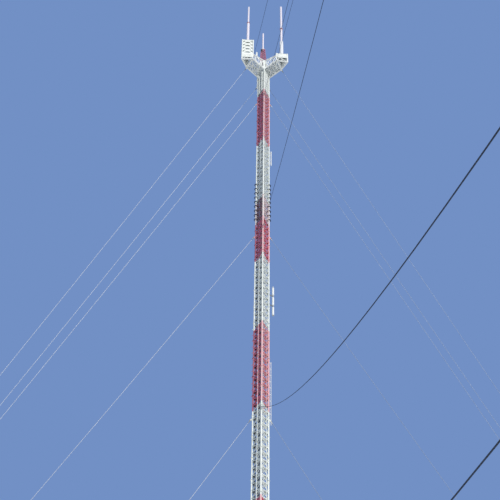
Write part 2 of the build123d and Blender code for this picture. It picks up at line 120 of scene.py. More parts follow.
# Conduits outside two faces: face, share of the face's width from its near leg, radius, range
FACE_LINES = [("left", 0.38, 0.0030, (0.420, 15.00)), ("left", 0.38, 0.0014, (17.20, 18.00)),
              ("left", 0.24, 0.0062, (19.42, 20.03)), ("left", 0.70, 0.0045, (19.42, 20.03)),
              ("right", 0.62, 0.0026, (0.420, 13.90)), ("right", 0.76, 0.0065, (19.42, 20.03))]
TRAY_RANGE = (19.42, 20.02)
TRAY_STRIPS = [0.14, 0.29, 0.44, 0.59]      # shares of the right face's width from its near leg
TRAY_STRIP_WIDTH = 0.0160
TRAY_RUNG_PITCH = 0.0300
TRAY_RUNG_ENDS = (0.08, 0.66)

# Lines inside the shaft
LADDER_WIDTH = 0.036
LADDER_SETBACK = 0.048      # from the near leg's axis, towards the mast's axis
RUNG_PITCH = 0.015
RUNG_RADIUS = 0.0007
TIE_SETBACK = 0.0035        # from the rungs to the bars that hold the ladder
FEEDER_RADIUS = 0.0040
FEEDER_PLACES = [-0.056, -0.047, -0.027, -0.018, -0.009]
FEEDER_SETBACK = 0.018
LINE_HEADROOM = 0.024

# Three-armed top
ARM_HEADING = {"left": -60.0, "back": 180.0, "right": 60.0}
ARM_REACH = 0.274
ARM_ROOT_DEPTH = 0.268
ARM_END_DEPTH = 0.165
TIP_DEPTH = {"left": 0.176, "right": 0.205, "back": 0.180}
INNER_POST = ARM_REACH - CORNER_RADIUS
TIP_POST = ARM_REACH - FACE_RADIUS + CORNER_RADIUS
ARM_PANELS = 2
ARM_FIRST_REACH = LEG_RADIUS + 0.0045       # from a leg's axis to the first upright of an arm
CHORD_RADIUS = 0.0100
CHORD_HALF = 0.0075         # half the depth of the CAD's square chord
LACING_RADIUS = 0.0044
THIN_LACING = LACING_RADIUS * 0.8
THICK_LACING = LACING_RADIUS * 1.2
NODE_GUSSET = 0.014         # half the width of a gusset plate on a chord
END_SLATS = {"left": 3, "right": 2}
SLAT_WIDTH = 0.035
SLAT_PITCH = 0.040
EAR_REACH = 0.014
EAR_DROP = 0.034
EAR_HEIGHT = 0.044
EAR_THICKNESS = 0.006
FLOOR_PITCH = {"left": 0.0055, "right": 0.0040, "back": 0.0045}
FLOOR_CROSS_PITCH = 0.020
TIP_FLATS = 26
TIP_CROSS_RODS = 5
PLATE_GAP = 0.0003
CAP_THICKNESS = 0.004
SPIRE_HEIGHT = 1.235
CAGE_HEIGHT = {"left": 0.488, "right": 0.060, "back": SPIRE_HEIGHT}
SPIRE_TOP_WIDTH = 0.048
SPIRE_LAMP_DROP = 0.090     # of the lamp's foot below the spire's top
SPIRE_LAMP_HEADING = -40.0
SPIRE_LAMP_REACH = 0.034

# Antennas: (radius, length) of each stage from the bottom up; a short stage is a flange
STAGES = {"left": [(0.0190, 0.715), (0.0220, 0.014), (0.0125, 0.630)],
          "right": [(0.0250, 0.520), (0.0155, 0.470), (0.0210, 0.016), (0.0150, 0.860)],
          "back": [(0.0170, 0.055), (0.0115, 0.570)]}
LONGEST_FLANGE = 0.020
SEAM = 0.002                # height of a raised seam round a tube
POST_REACH = 0.126
POST_RADIUS = 0.0110
POST_HEIGHT = 0.138
BAR_BOTTOM = 17.450
BAR_LENGTH = 0.385
BAR_RADIUS = 0.0060
BAR_OFFSET = 0.030
BAR_CLAMP_INSET = 0.058
TRIPLE_BOTTOM = 14.040
TRIPLE_LENGTH = 0.580
DRUM_COUNT = 3
DRUM_GAP = 0.038
DRUM_SIDES = 28
TRIPLE_SPIGOT = 0.030       # of the core, above the top drum
TRIPLE_RADIUS = 0.011
TRIPLE_OFFSET = 0.054
TRIPLE_CORE = 0.005

# Stays and anchors
STAY_RADIUS = 0.0017
STAY_RUNS = 30
STAY_SIDES = 10
STAY_LAY = 0.030            # length in which a strand turns once round the rope
STAY_STRANDS = 6.0
OUTER_RADIUS = 11.920
INNER_RADIUS = 9.743
OUTER_SAG = 0.0135
INNER_SAG = 0.027
STAY_FOOT_TOP = 0.182
STAY_FOOT_STEP = 0.026
TWIN_SPREAD = 0.020
SOCKET_LENGTH = 0.042
SCREW_LENGTH = 0.110
BLOCK_LENGTH = 0.400
BLOCK_WIDTH = 0.260
BLOCK_HEIGHT = 0.080
BLOCK_BEVEL = 0.006
HEAD_FRONT = 0.024
HEAD_FOOT = 0.110
HEAD_WIDTH = 0.040
HEAD_HEIGHT = 0.120
HEAD_PLATE = 0.005

# Base
PIER_TOP = 0.075
BEARING_PLATE_WIDTH = 0.150
BEARING_PLATE_THICKNESS = 0.008
BEARING_BOLT_INSET = 0.014
HUB_TOP = 0.119
HUB_BOLT_CIRCLE = 0.029
FOOT_PLATE_THICKNESS = 0.008
FOOT_BOLT_CIRCLE = 0.0125
FLOOR_REACH = 150.0

# Camera, from the photograph: it stands 8.77 m from the mast's axis and looks up at 60 degrees
CAMERA_DISTANCE = 8.766
CAMERA_HEIGHT = 0.080
CAMERA_SIDE = 3.11          # degrees from the near leg's heading, seen from the mast
CAMERA_PITCH = 60.006
CAMERA_YAW = -0.892
CAMERA_ROLL = 1.261
FOCAL_PIXELS = 1586.8       # in the photograph's 500-pixel frame
FRAME_PIXELS = 500.0
SENSOR_WIDTH = 36.0

# Paint colours, each with the colour that it goes to where it has aged
REDS = ((0.76, 0.130, 0.175), (0.65, 0.185, 0.22))
# Painted shade: darker, bluer copies of the reds for the shaded left face
SHADE_REDS = ((0.60, 0.13, 0.23), (0.52, 0.18, 0.28))
# Painted highlight: pale pink reds for the legs, for the sun's sheen on the round tubes
LEG_HIGHLIGHT_REDS = ((0.90, 0.52, 0.54), (0.84, 0.55, 0.57))
# Painted shade: a dark red for the left leg, which stands in shade
SHADE_LEG_REDS = ((0.36, 0.09, 0.14), (0.42, 0.15, 0.21))
SPIRE_REDS = ((0.42, 0.14, 0.23), (0.29, 0.10, 0.16))
WHITES = ((0.90, 0.93, 0.90), (0.76, 0.81, 0.77))
# Painted shade: darker, bluer copies of the whites for the shaded left face
SHADE_WHITES = ((0.76, 0.83, 0.86), (0.63, 0.70, 0.73))
# Painted light: brighter whites for the arms and the deck post, for the light on their shaded undersides
ARM_LIGHT_WHITES = ((0.94, 0.96, 0.95), (0.87, 0.90, 0.89))

# Other surfaces: colour, darker colour of its patches, roughness, metallic, patch scale, bump
SURFACES = {
    "radome": ((0.91, 0.87, 0.96), (0.86, 0.78, 0.86), 0.38, 0.0, 14.0, 0.1),
    "pale_radome": ((0.91, 0.93, 0.97), (0.84, 0.86, 0.90), 0.38, 0.0, 14.0, 0.1),
    "red_flange": ((0.50, 0.06, 0.06), (0.36, 0.05, 0.05), 0.45, 0.0, 60.0, 0.2),
    "white_cover": ((0.90, 0.92, 0.92), (0.80, 0.82, 0.83), 0.45, 0.0, 30.0, 0.15),
    "dark_steel": ((0.060, 0.065, 0.085), (0.035, 0.038, 0.052), 0.60, 0.2, 60.0, 0.3),
    "grating_steel": ((0.64, 0.68, 0.68), (0.50, 0.54, 0.54), 0.60, 0.2, 70.0, 0.3),
    "zinc_steel": ((0.52, 0.55, 0.56), (0.38, 0.41, 0.42), 0.50, 0.7, 70.0, 0.3),
    "feeder_jacket": ((0.030, 0.030, 0.033), (0.018, 0.018, 0.020), 0.55, 0.0, 120.0, 0.3),
    "concrete": ((0.46, 0.45, 0.42), (0.34, 0.33, 0.31), 0.85, 0.0, 24.0, 0.6),
}
# Ropes: the same without a bump of their own, which the strands give
ROPES = {
    "stay_rope": ((0.93, 0.95, 0.97), (0.82, 0.85, 0.88), 0.50, 0.10, 90.0),
    # Painted shade: darker copies of the stay rope's colour, greyer for the right stays and nearly black for
    # the near stays seen from their shaded side
    "half_shaded_rope": ((0.42, 0.48, 0.58), (0.34, 0.40, 0.50), 0.50, 0.15, 90.0),
    "shaded_rope": ((0.030, 0.036, 0.055), (0.018, 0.022, 0.034), 0.60, 0.0, 90.0),
}
# Lit and shaded copies of one paint, by face: painted shade on the left face, partly painted light on the
# sunlit right face
FACE_PAINT = {"left": "shade_paint", "back": "band_paint", "right": "sunny_paint"}
ROPE_MATERIAL = {"near": "shaded_rope", "left": "stay_rope", "right": "half_shaded_rope"}
SHARP_ANGLE = math.radians(35.0)


def heading(degrees):
    """Level unit vector; 0 is -Y and 90 is +X."""
    angle = math.radians(degrees)
    return Vector((math.sin(angle), -math.cos(angle), 0.0))


def towards(aim, direction):
    """The direction, reversed where it points away from the aim."""
    return direction if direction.dot(aim) > 0 else -direction


def fan(first, second, count, shift=0.0):
    """Unit vectors in even steps, from first by way of second; shift turns them by a part of a step."""
    turns = [2 * math.pi * (k + shift) / count for k in range(count)]
    return [first * math.cos(turn) + second * math.sin(turn) for turn in turns]


def spokes(axis, count, shift=0.0):
    """Unit vectors spread evenly round an axis."""
    first = axis.orthogonal().normalized()
    return fan(first, axis.cross(first), count, shift)


def level_towards(start, end):
    """Level unit vector from one point towards another."""
    return Vector((end.x - start.x, end.y - start.y, 0.0)).normalized()


def add_object(data):
    thing = bpy.data.objects.new(data.name, data)
    bpy.context.collection.objects.link(thing)
    return thing


def rotation(degrees, axis):
    return Matrix.Rotation(math.radians(degrees), 4, axis)


def add_camera():
    data = bpy.data.cameras.new("photo_camera")
    data.sensor_width = SENSOR_WIDTH
    data.lens = FOCAL_PIXELS / FRAME_PIXELS * SENSOR_WIDTH
    data.clip_end = 200.0
    camera = add_object(data)
    stand = Matrix.Translation((0.0, -CAMERA_DISTANCE, CAMERA_HEIGHT))
    aim = rotation(-CAMERA_YAW, "Z") @ rotation(90.0 + CAMERA_PITCH, "X") @ rotation(CAMERA_ROLL, "Z")
    camera.matrix_world = rotation(-CAMERA_SIDE, "Z") @ stand @ aim
    bpy.context.scene.camera = camera


def add_sun(name, azimuth, elevation, strength, spread, colour):
    data = bpy.data.lights.new(name, "SUN")
    data.energy = strength
    data.angle = math.radians(spread)
    data.color = colour
    rise = math.radians(elevation)
    away = -(heading(azimuth) * math.cos(rise) + UP * math.sin(rise))
    add_object(data).rotation_euler = away.to_track_quat("-Z", "Y").to_euler()


# Nodes and materials

class Nodes:
    """Adds nodes to a tree."""

    def __init__(self, tree):
        self.nodes = tree.nodes
        self.links = tree.links

    def feed(self, socket, value):
        """Gives a socket a number, a colour or another node's output."""
        if isinstance(value, bpy.types.NodeSocket):
            self.links.new(value, socket)
        else:
            socket.default_value = (*value, 1.0) if socket.type == "RGBA" else value

    def node(self, kind, inputs=None, **settings):
        """Adds a node and gives back its outputs."""
        node = self.nodes.new(kind)
        for word, value in settings.items():
            setattr(node, word, value)
        for socket, value in (inputs or {}).items():
            self.feed(node.inputs[socket], value)
        return node.outputs

    def math(self, operation, *values):
        return self.node("ShaderNodeMath", dict(enumerate(values)), operation=operation)[0]


class Surface(Nodes):
    """A new material, with a method for each kind of node that the surfaces use."""

    def __init__(self, name):
        self.material = bpy.data.materials.new(name)
        self.material.use_nodes = True
        super().__init__(self.material.node_tree)

    def look(self, socket, value):
        self.feed(self.nodes["Principled BSDF"].inputs[socket], value)

    def mix(self, factor, first, second):
        return self.node("ShaderNodeMix", {"Factor": factor, 6: first, 7: second}, data_type="RGBA")[2]

    def place(self, kind):
        return self.node("ShaderNodeTexCoord")[kind]

    def split(self, kind):
        return self.node("ShaderNodeSeparateXYZ", {0: self.place(kind)})

    def noise(self, scale, detail=4.0, stretch=None):
        place = self.place("Object")
        if stretch:
            place = self.node("ShaderNodeMapping", {"Vector": place, "Scale": stretch})[0]
        return self.node("ShaderNodeTexNoise", {"Vector": place, "Scale": scale, "Detail": detail})["Fac"]

    def spread(self, value, low, high, to_low=0.0, to_high=1.0):
        limits = {"From Min": low, "From Max": high, "To Min": to_low, "To Max": to_high}
        return self.node("ShaderNodeMapRange", {"Value": value, **limits})["Result"]

    def bump(self, height, strength, distance):
        inputs = {"Strength": strength, "Distance": distance, "Height": height}
        self.look("Normal", self.node("ShaderNodeBump", inputs)["Normal"])


def add_world(seen, light, strength):
    """Sky that lights with one colour and is seen, mirrored and seen through in another."""
    world = bpy.data.worlds.new("studio")
    world.use_nodes = True
    bpy.context.scene.world = world
    tree = Nodes(world.node_tree)
    tree.nodes.clear()
    lit = tree.node("ShaderNodeBackground", {"Color": light, "Strength": strength})[0]
    plain = tree.node("ShaderNodeBackground", {"Color": seen})[0]
    path = tree.node("ShaderNodeLightPath")
    is_seen = path["Is Camera Ray"]
    for ray in ("Is Glossy Ray", "Is Transmission Ray"):
        is_seen = tree.math("MAXIMUM", is_seen, path[ray])
    sky = tree.node("ShaderNodeMixShader", {0: is_seen, 1: lit, 2: plain})[0]
    tree.node("ShaderNodeOutputWorld", {"Surface": sky})


def paint(name, reds=None, tint_zones=(), whites=WHITES):
    """Weathered mast paint: white, or red and white in turns down the mast, with the red mixed in zones towards
    another colour; in the shade copies that is painted shade, in the sunlit copy partly painted light.
    """
    surface = Surface(name)
    patches = surface.spread(surface.noise(9.0, 6.0), 0.42, 0.62)
    runs = surface.spread(surface.noise(60.0, 3.0, (1.0, 1.0, 0.12)), 0.5, 0.7)
    age = surface.math("MULTIPLY", surface.math("MAXIMUM", patches, runs), 0.6)
    colour = surface.mix(age, *whites)
    if reds:
        height = surface.split("Object")["Z"]
        red_side = surface.mix(age, *reds)
        if name == "spire_paint":
            is_red = surface.math("GREATER_THAN", height, SPIRE_BAND_EDGE)
        else:
            depth = surface.math("SUBTRACT", BAND_EDGES[-1], height)
            more = surface.math("FLOOR", surface.math("DIVIDE", depth, BAND_HEIGHT))
            crossed = surface.math("MAXIMUM", more, 0.0)
            for edge in BAND_EDGES:
                crossed = surface.math("ADD", surface.math("LESS_THAN", height, edge), crossed)
            is_red = surface.math("FLOORED_MODULO", crossed, 2.0)
        # Zones mixed into the red: painted shade on the shaded faces, partly painted light on the sunlit face,
        # paler legs
        for low, high, share, zone_colour in tint_zones:
            above = surface.math("GREATER_THAN", height, low)
            inside = surface.math("MULTIPLY", above, surface.math("LESS_THAN", height, high))
            red_side = surface.mix(surface.math("MULTIPLY", inside, share), red_side, zone_colour)
        colour = surface.mix(is_red, colour, red_side)
    surface.look("Base Color", colour)
    surface.look("Roughness", surface.spread(patches, 0.0, 1.0, 0.42, 0.62))
    surface.bump(surface.noise(700.0), 0.25, 0.0006)
    return surface.material


def worn(name, base, dark, roughness, metallic, scale, bump=None):
    """Worn surface; a rope has no bump of its own, and shows the lay of its strands in the mesh's UVs."""
    surface = Surface(name)
    mottle = surface.spread(surface.noise(scale, 6.0), 0.35, 0.68)
    surface.look("Base Color", surface.mix(mottle, dark, base))
    surface.look("Roughness", surface.spread(mottle, 0.0, 1.0, roughness + 0.12, roughness - 0.08))
    surface.look("Metallic", metallic)
    if bump:
        surface.bump(surface.noise(scale * 8.0), bump, 0.0008)
    else:
        place = surface.split("UV")
        round_it = surface.math("MULTIPLY", place["X"], STAY_STRANDS)
        along_it = surface.math("MULTIPLY", place["Y"], STAY_STRANDS)
        turn = surface.math("MULTIPLY", surface.math("ADD", round_it, along_it), 2 * math.pi)
        surface.bump(surface.math("SINE", turn), 0.8, 0.0004)
    return surface.material


MATERIALS = {
    # Lit and shaded copies of the mast paint: painted shade in shade_paint and shade_leg_paint, partly painted
    # light in sunny_paint, a painted highlight in the leg paint, painted light in the arm paint
    "band_paint": paint("band_paint", REDS, PAINTED_SHADE_ZONES),
    "shade_paint": paint("shade_paint", SHADE_REDS, PAINTED_SHADE_ZONES, SHADE_WHITES),
    "sunny_paint": paint("sunny_paint", REDS, FADE_AND_SUNLIGHT_ZONES),
    "leg_highlight_paint": paint("leg_highlight_paint", LEG_HIGHLIGHT_REDS, LEG_PALE_ZONES),
    "shade_leg_paint": paint("shade_leg_paint", SHADE_LEG_REDS, LEG_PALE_ZONES),
    "spire_paint": paint("spire_paint", SPIRE_REDS),
    "white_paint": paint("white_paint"),
    "arm_light_paint": paint("arm_light_paint", whites=ARM_LIGHT_WHITES),
}
for name, values in (SURFACES | ROPES).items():
    MATERIALS[name] = worn(name, *values)

for part in frame["record"]["subparts"]:
    node = frame["nodes"][part["node"]]
    node.data.materials.clear()
    node.data.materials.append(MATERIALS[part["material_slot"]])


# Meshes of many small solids

class Solids:
    """Gathers the faces of many small solids into one mesh."""

    def __init__(self):
        self.points = []
        self.faces = []
        self.uvs = {}

    def add(self, points, faces):
        first = len(self.points)
        self.points.extend(points)
        self.faces.extend([[first + k for k in face] for face in faces])

    def tube(self, rings):
        """Closed solid through rings of points: its two ends, then its sides."""
        sides = len(rings[0])
        last = (len(rings) - 1) * sides
        faces = [list(range(sides))[::-1], list(range(last, last + sides))]
        for low in range(0, last, sides):
            for k in range(sides):
                after = low + (k + 1) % sides
                faces.append([low + k, after, after + sides, low + k + sides])
        self.add([point for ring in rings for point in ring], faces)

    def prism(self, ring, shift):
        """Straight solid between a ring of points and the same ring shifted."""
        self.tube([ring, [point + shift for point in ring]])

    def bar(self, start, end, width, depth, facing=UP):
        """Flat bar; its width lies across facing, its depth along it."""
        run = end - start
        across = run.cross(facing).normalized()
        deep = across.cross(run).normalized()
        self.prism([start + across * (a * width / 2) + deep * (b * depth / 2) for a, b in CORNERS], run)

    def angle(self, start, end, flat, stand, width, thick, rise):
        """Angle bar: one leg lies along flat, the other rises along stand."""
        outline = ((0, 0), (width, 0), (width, thick), (thick, thick), (thick, rise), (0, rise))
        self.prism([start + flat * (a - width / 2) + stand * b for a, b in outline], end - start)

    def cross_bar(self, reach, y, height, width, thick):
        """Level angle bar along X, centred in the shaft."""
        ends = [Vector((x, y, height)) for x in (-reach, reach)]
        self.angle(*ends, UP, Vector((0.0, 1.0, 0.0)), width, thick, width)

    def rod(self, start, end, radius, sides=WIRE_SIDES):
        run = end - start
        self.prism([start + spoke * radius for spoke in spokes(run.normalized(), sides)], run)

    def lacing(self, start, end, radius=LACING_RADIUS):
        self.rod(start, end, radius, LACING_SIDES)

    def chord(self, start, end):
        self.rod(start, end, CHORD_RADIUS, CHORD_SIDES)

    def plate(self, centre, outline, right, up, thickness):
        """Plate in the plane of right and up, centred on its thickness."""
        normal = right.cross(up).normalized() * thickness
        self.prism([centre + right * a + up * b - normal / 2 for a, b in outline], normal)

    def turned(self, base, axis, profile, sides=TUBE_SIDES):
        """Closed turned solid: profile holds (distance along the axis, radius) from end to end."""
        ring = spokes(axis, sides)
        self.tube([[base + axis * along + spoke * radius for spoke in ring] for along, radius in profile])

    def disc(self, centre, radius, thickness, sides=TUBE_SIDES, axis=UP):
        """Round disc or collar, centred on its thickness."""
        base = centre - axis * (thickness / 2)
        self.turned(base, axis, [(0.0, radius), (thickness, radius)], sides)

    def ring(self, centre, axis, radius, tube, sides=20, tube_sides=8):
        """Bent tube that closes in a circle round the axis."""
        points = []
        faces = []
        for k, spoke in enumerate(spokes(axis, sides)):
            for j in range(tube_sides):
                bend = 2 * math.pi * j / tube_sides
                out = spoke * (radius + tube * math.cos(bend))
                points.append(centre + out + axis * (tube * math.sin(bend)))
                here, there = k * tube_sides, (k + 1) % sides * tube_sides
                after = (j + 1) % tube_sides
                faces.append([here + j, there + j, there + after, here + after])
        self.add(points, faces)

    def rope(self, start, end, sag, radius):
        """Sagging rope whose UVs go once round it across and once per lay along it."""
        run = end - start
        stations = []
        for step in range(STAY_RUNS + 1):
            share = step / STAY_RUNS
            stations.append(start + run * share - UP * (4 * sag * run.length * share * (1 - share)))
        across = UP.cross(run).normalized()
        rings = []
        for step, centre in enumerate(stations):
            along = (stations[min(step + 1, STAY_RUNS)] - stations[max(step - 1, 0)]).normalized()
            spread = fan(across, along.cross(across), STAY_SIDES)
            rings.append([centre + spoke * radius for spoke in spread])
        side = len(self.faces) + 2
        self.tube(rings)
        for step in range(STAY_RUNS):
            low, high = (run.length * end / STAY_RUNS / STAY_LAY for end in (step, step + 1))
            for k in range(STAY_SIDES):
                left, right = k / STAY_SIDES, (k + 1) / STAY_SIDES
                self.uvs[side] = ((left, low), (right, low), (right, high), (left, high))
                side += 1

    def bolt(self, place, axis=UP, radius=BOLT_RADIUS, height=BOLT_HEIGHT):
        self.rod(place, place + axis * height, radius)

    def bolt_circle(self, centre, count, reach, radius, height, start=0.0):
        """Circle of upright bolts; the first one's heading is start."""
        for k in range(count):
            self.bolt(centre + heading(start + 360.0 / count * k) * reach, UP, radius, height)

    def band(self, start, end, width, depth, outwards, spots, radius):
        """Flat plate with the same bolts at both ends, each at a step along it and a rise."""
        self.bar(start, end, width, depth, outwards)
        along = (end - start).normalized()
        for corner, way in ((start, 1), (end, -1)):
            for step, rise in spots:
                spot = corner + along * (way * step) + outwards * (depth / 2) + UP * rise
                self.bolt(spot, outwards, radius, radius - 0.0002)

    def flange(self, centre, axis, radius, thickness, bolts):
        """Pair of bolted flanges that meet at a joint."""
        groove = thickness * 0.08
        neck = radius * 0.97
        self.turned(centre, axis, [(-thickness, radius), (-groove, radius), (-groove, neck),
                                   (groove, neck), (groove, radius), (thickness, radius)])
        reach = axis * (thickness + BOLT_HEIGHT)
        for spoke in spokes(axis, bolts, 0.5):
            spot = centre + spoke * (radius * 0.82)
            self.rod(spot - reach, spot + reach, BOLT_RADIUS)

    def piece(self, name, slot, material_name=None):
        mesh = bpy.data.meshes.new(name)
        mesh.from_pydata(self.points, [], self.faces)
        mesh.validate()
        if self.uvs:
            layer = mesh.uv_layers.new(name="lay")
            for face, pairs in self.uvs.items():
                for loop, pair in zip(mesh.polygons[face].loop_indices, pairs):
                    layer.data[loop].uv = pair
        mesh.shade_smooth()
        mesh.set_sharp_from_angle(angle=SHARP_ANGLE)
        mesh.materials.append(MATERIALS[material_name or slot])
        obj = add_object(mesh)
        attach(obj, "root")
        return obj


LEG_OUT = {name: heading(angle) for name, angle in LEG_HEADING.items()}
ARM_OUT = {side: heading(angle) for side, angle in ARM_HEADING.items()}
LEG = {name: out * CORNER_RADIUS for name, out in LEG_OUT.items()}


def beside(leg, reach, height=0.0):
    """Point at a distance outwards from a leg's axis, and at a height."""
    return LEG[leg] + LEG_OUT[leg] * reach + UP * height


def face_axes(side):
    """Middle of a face, and its directions along and inwards."""
    first, second = (LEG[name] for name in FACES[side])
    along = (second - first).normalized()
    return (first + second) / 2, along, along.cross(UP)


# Shaft

def bay_line(bay):
    return SHAFT_FOOT + bay * BAY_HEIGHT


def lines_between(low, high):
    return [bay_line(bay) for bay in range(BAYS) if low < bay_line(bay) < high]


def add_leg(name):
    """Round leg tube, joined every few bays by bolted flanges."""
    solids = Solids()
    solids.rod(beside(name, 0.0, SHAFT_FOOT), beside(name, 0.0, DECK), LEG_RADIUS, TUBE_SIDES)
    for bay in range(FLANGE_EVERY, BAYS, FLANGE_EVERY):
        joint = beside(name, 0.0, bay_line(bay) - BAY_HEIGHT / 2)
        solids.flange(joint, UP, FLANGE_RADIUS, FLANGE_THICKNESS, FLANGE_BOLTS)
    # Painted shade for the left leg; the other legs get a painted highlight in the red bands
    return solids.piece(f"tube_{name}", "band_paint", "shade_leg_paint" if name == "left" else "leg_highlight_paint")


def nosed(root, reach, shoulder, half, nose):
    """Outline of a plate on a leg, cut at its outer corners by shares of its reach and half height."""
    upper = [(reach, half * nose), (reach * shoulder, half), (root, half)]
    return [(a, -b) for a, b in reversed(upper)] + upper


def add_lugs(name):
    """Guy lugs of a leg, each with two collars round the tube and a stiffener above and below."""
    solids = Solids()
    out = LEG_OUT[name]
    lug = nosed(0.0, LEG_RADIUS + LUG_REACH, 0.6, LUG_HEIGHT / 2, 0.6)
    stiffener = [(-0.006, -0.005), (0.006, -0.003), (0.006, 0.003), (-0.006, 0.005)]
    for level in OUTER_LEVELS + INNER_LEVELS:
        centre = LEG[name] + UP * level
        solids.plate(centre, lug, out, UP, LUG_THICKNESS)
        for way in (-1, 1):
            collar = centre + UP * (way * LUG_HEIGHT * 0.62)
            solids.disc(collar, LEG_RADIUS + 0.0022, 0.002)
            solids.plate(collar + out * (LEG_RADIUS + LUG_REACH * 0.3), stiffener, out, out.cross(UP), 0.0016)
    # Painted highlight: the lugs take the pale leg reds
    return solids.piece(f"lugs_{name}", "band_paint", "leg_highlight_paint")


def add_gusset(solids, corner, along, inwards, height):
    """Gusset plate on a leg at a bay's line, with the girt's bolts."""
    outline = nosed(LEG_RADIUS * 0.8, GUSSET_REACH, 0.62, GUSSET_HEIGHT / 2, 0.45)
    centre = corner + UP * height
    solids.plate(centre, outline, along, UP, GUSSET_THICKNESS)
    for count in range(2):
        reach = LEG_RADIUS + 0.006 + count * BOLT_PITCH
        solids.bolt(centre + along * reach + inwards * (GUSSET_THICKNESS / 2), inwards)


def add_bracing(side, section):
    """One section of a face: crossed diagonals, a girt at each bay, gussets and bolts."""
    solids = Solids()
    middle, along, inwards = face_axes(side)
    half = FACE_WIDTH / 2
    start_x = half - LEG_RADIUS - ANGLE_SETBACK
    setback = GUSSET_THICKNESS / 2
    sizes = (ANGLE_WIDTH, ANGLE_THICKNESS, ANGLE_STAND)
    corners = [(middle + along * (way * half), along * -way) for way in (-1, 1)]
    for bay in range(section * BAYS_PER_SECTION, (section + 1) * BAYS_PER_SECTION):
        low = bay_line(bay)
        lean = 1 if bay % 2 else -1
        for layer, way in ((1, lean), (-1, -lean)):
            back = inwards * (layer * setback)
            foot = middle + along * (way * start_x) + back + UP * (low + ANGLE_TRIM)
            top = middle - along * (way * start_x) + back + UP * (low + BAY_HEIGHT - ANGLE_TRIM)
            run = (top - foot).normalized()
            solids.angle(foot, top, towards(UP, inwards.cross(run)), inwards * layer, *sizes)
            head = inwards * (ANGLE_THICKNESS if layer > 0 else GUSSET_THICKNESS)
            for end, on in ((foot, run), (top, -run)):
                for count in range(2):
                    solids.bolt(end + on * (BOLT_PITCH * (count + 0.6)) + head, inwards)
        centre = middle + inwards * (setback + ANGLE_THICKNESS) + UP * (low + BAY_HEIGHT / 2)
        solids.bolt(centre, inwards)
        if bay > 0:
            shift = -inwards * setback
            ends = [corner + along_face * LEG_RADIUS + UP * low + shift for corner, along_face in corners]
            solids.angle(*ends, -UP, -inwards, *sizes)
            for corner, along_face in corners:
                add_gusset(solids, corner, along_face, inwards, low)
    # Each face gets its own copy of the paint: painted shade on the left face, partly painted light on the
    # right face
    return solids.piece(f"bars_{side}_{SECTIONS[section]}", "band_paint", FACE_PAINT[side])


def add_ladder():
    """Rungs of the ladder, and the bars that hold it to the faces."""
    solids = Solids()
    y = LEG["near"].y + LADDER_SETBACK
    height = SHAFT_FOOT + RUNG_PITCH
    while height < DECK - LINE_HEADROOM:
        ends = [Vector((x, y, height)) for x in (-LADDER_WIDTH / 2, LADDER_WIDTH / 2)]
        solids.rod(*ends, RUNG_RADIUS)
        height += RUNG_PITCH
    reach = LADDER_SETBACK * math.tan(math.radians(30.0)) - 0.002
    for bay in range(FLANGE_EVERY, BAYS, FLANGE_EVERY):
        solids.cross_bar(reach, y + TIE_SETBACK, bay_line(bay), 0.004, 0.0006)
    solids.piece("ladder_rungs", "zinc_steel")


def add_feeders():
    """Round feeder cables in a row, and the hangers that carry them at each bay."""
    cables = Solids()
    hangers = Solids()
    y = FACE_RADIUS - FEEDER_SETBACK
    for x in FEEDER_PLACES:
        ends = [Vector((x, y, height)) for height in (SHAFT_FOOT + PLATE_GAP, DECK - LINE_HEADROOM)]
        cables.rod(*ends, FEEDER_RADIUS, 16)
    reach = FACE_WIDTH / 2 - (FEEDER_SETBACK - 0.006) / math.tan(math.radians(60.0)) - 0.006
    for bay in range(1, BAYS):
        height = bay_line(bay)
        hangers.cross_bar(reach, y + FEEDER_RADIUS + 0.001, height, 0.006, 0.0007)
        for x in FEEDER_PLACES:
            hangers.disc(Vector((x, y, height)), FEEDER_RADIUS + 0.0006, 0.004, 8)
    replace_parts(cables.piece("feeder_cables", "feeder_jacket"), "feeder_lines")
    hangers.piece("feeder_hangers", "zinc_steel")


def add_side_fittings():
    """Short arms outside the left leg, rings round both side legs, and a pipe beside the right one."""
    stubs = Solids()
    for limits in STUB_RANGES:
        for line in lines_between(*limits):
            level = line + BAY_HEIGHT / 2
            tip = beside("left", STUB_REACH, level)
            stubs.rod(beside("left", 0.0, level), tip, STUB_RADIUS, 8)
            stubs.rod(beside("left", STUB_REACH - STUB_HEAD, level), tip, STUB_RADIUS * 1.7, 12)
    stubs.piece("side_stubs", "band_paint")
    rings = Solids()
    for name in ("left", "right"):
        for line in lines_between(*RING_RANGE):
            root = beside(name, 0.0, line)
            centre = root + LEG_OUT[name] * RING_SHIFT
            rings.ring(centre, UP, RING_RADIUS, RING_TUBE)
            for turn in (-60.0, 60.0, 180.0):
                spoke = heading(LEG_HEADING[name] + turn)
                rings.rod(root, centre + spoke * RING_RADIUS, RING_TUBE * 0.5, 8)
            rings.disc(root, LEG_RADIUS + 0.0012, 0.008, 16)
    rings.piece("side_rings", "feeder_jacket", "dark_steel")
    pipe = Solids()
    pipe.rod(*(beside("right", PIPE_OFFSET, level) for level in PIPE_RANGE), PIPE_RADIUS, 16)
    for line in lines_between(*PIPE_RANGE):
        place = beside("right", PIPE_OFFSET, line)
        pipe.bar(beside("right", LEG_RADIUS, line), place, 0.003, 0.005)
        pipe.disc(place, PIPE_RADIUS + 0.001, 0.006, 12)
    pipe.piece("side_fittings", "white_cover")


def on_face(side, share, height):
    """Point on a face's bracing, at a share of its width from the near leg, and the outward direction."""
    _, along, inwards = face_axes(side)
    away = along if FACES[side][0] == "near" else -along
    return LEG["near"] + away * (share * FACE_WIDTH) + UP * height, -inwards


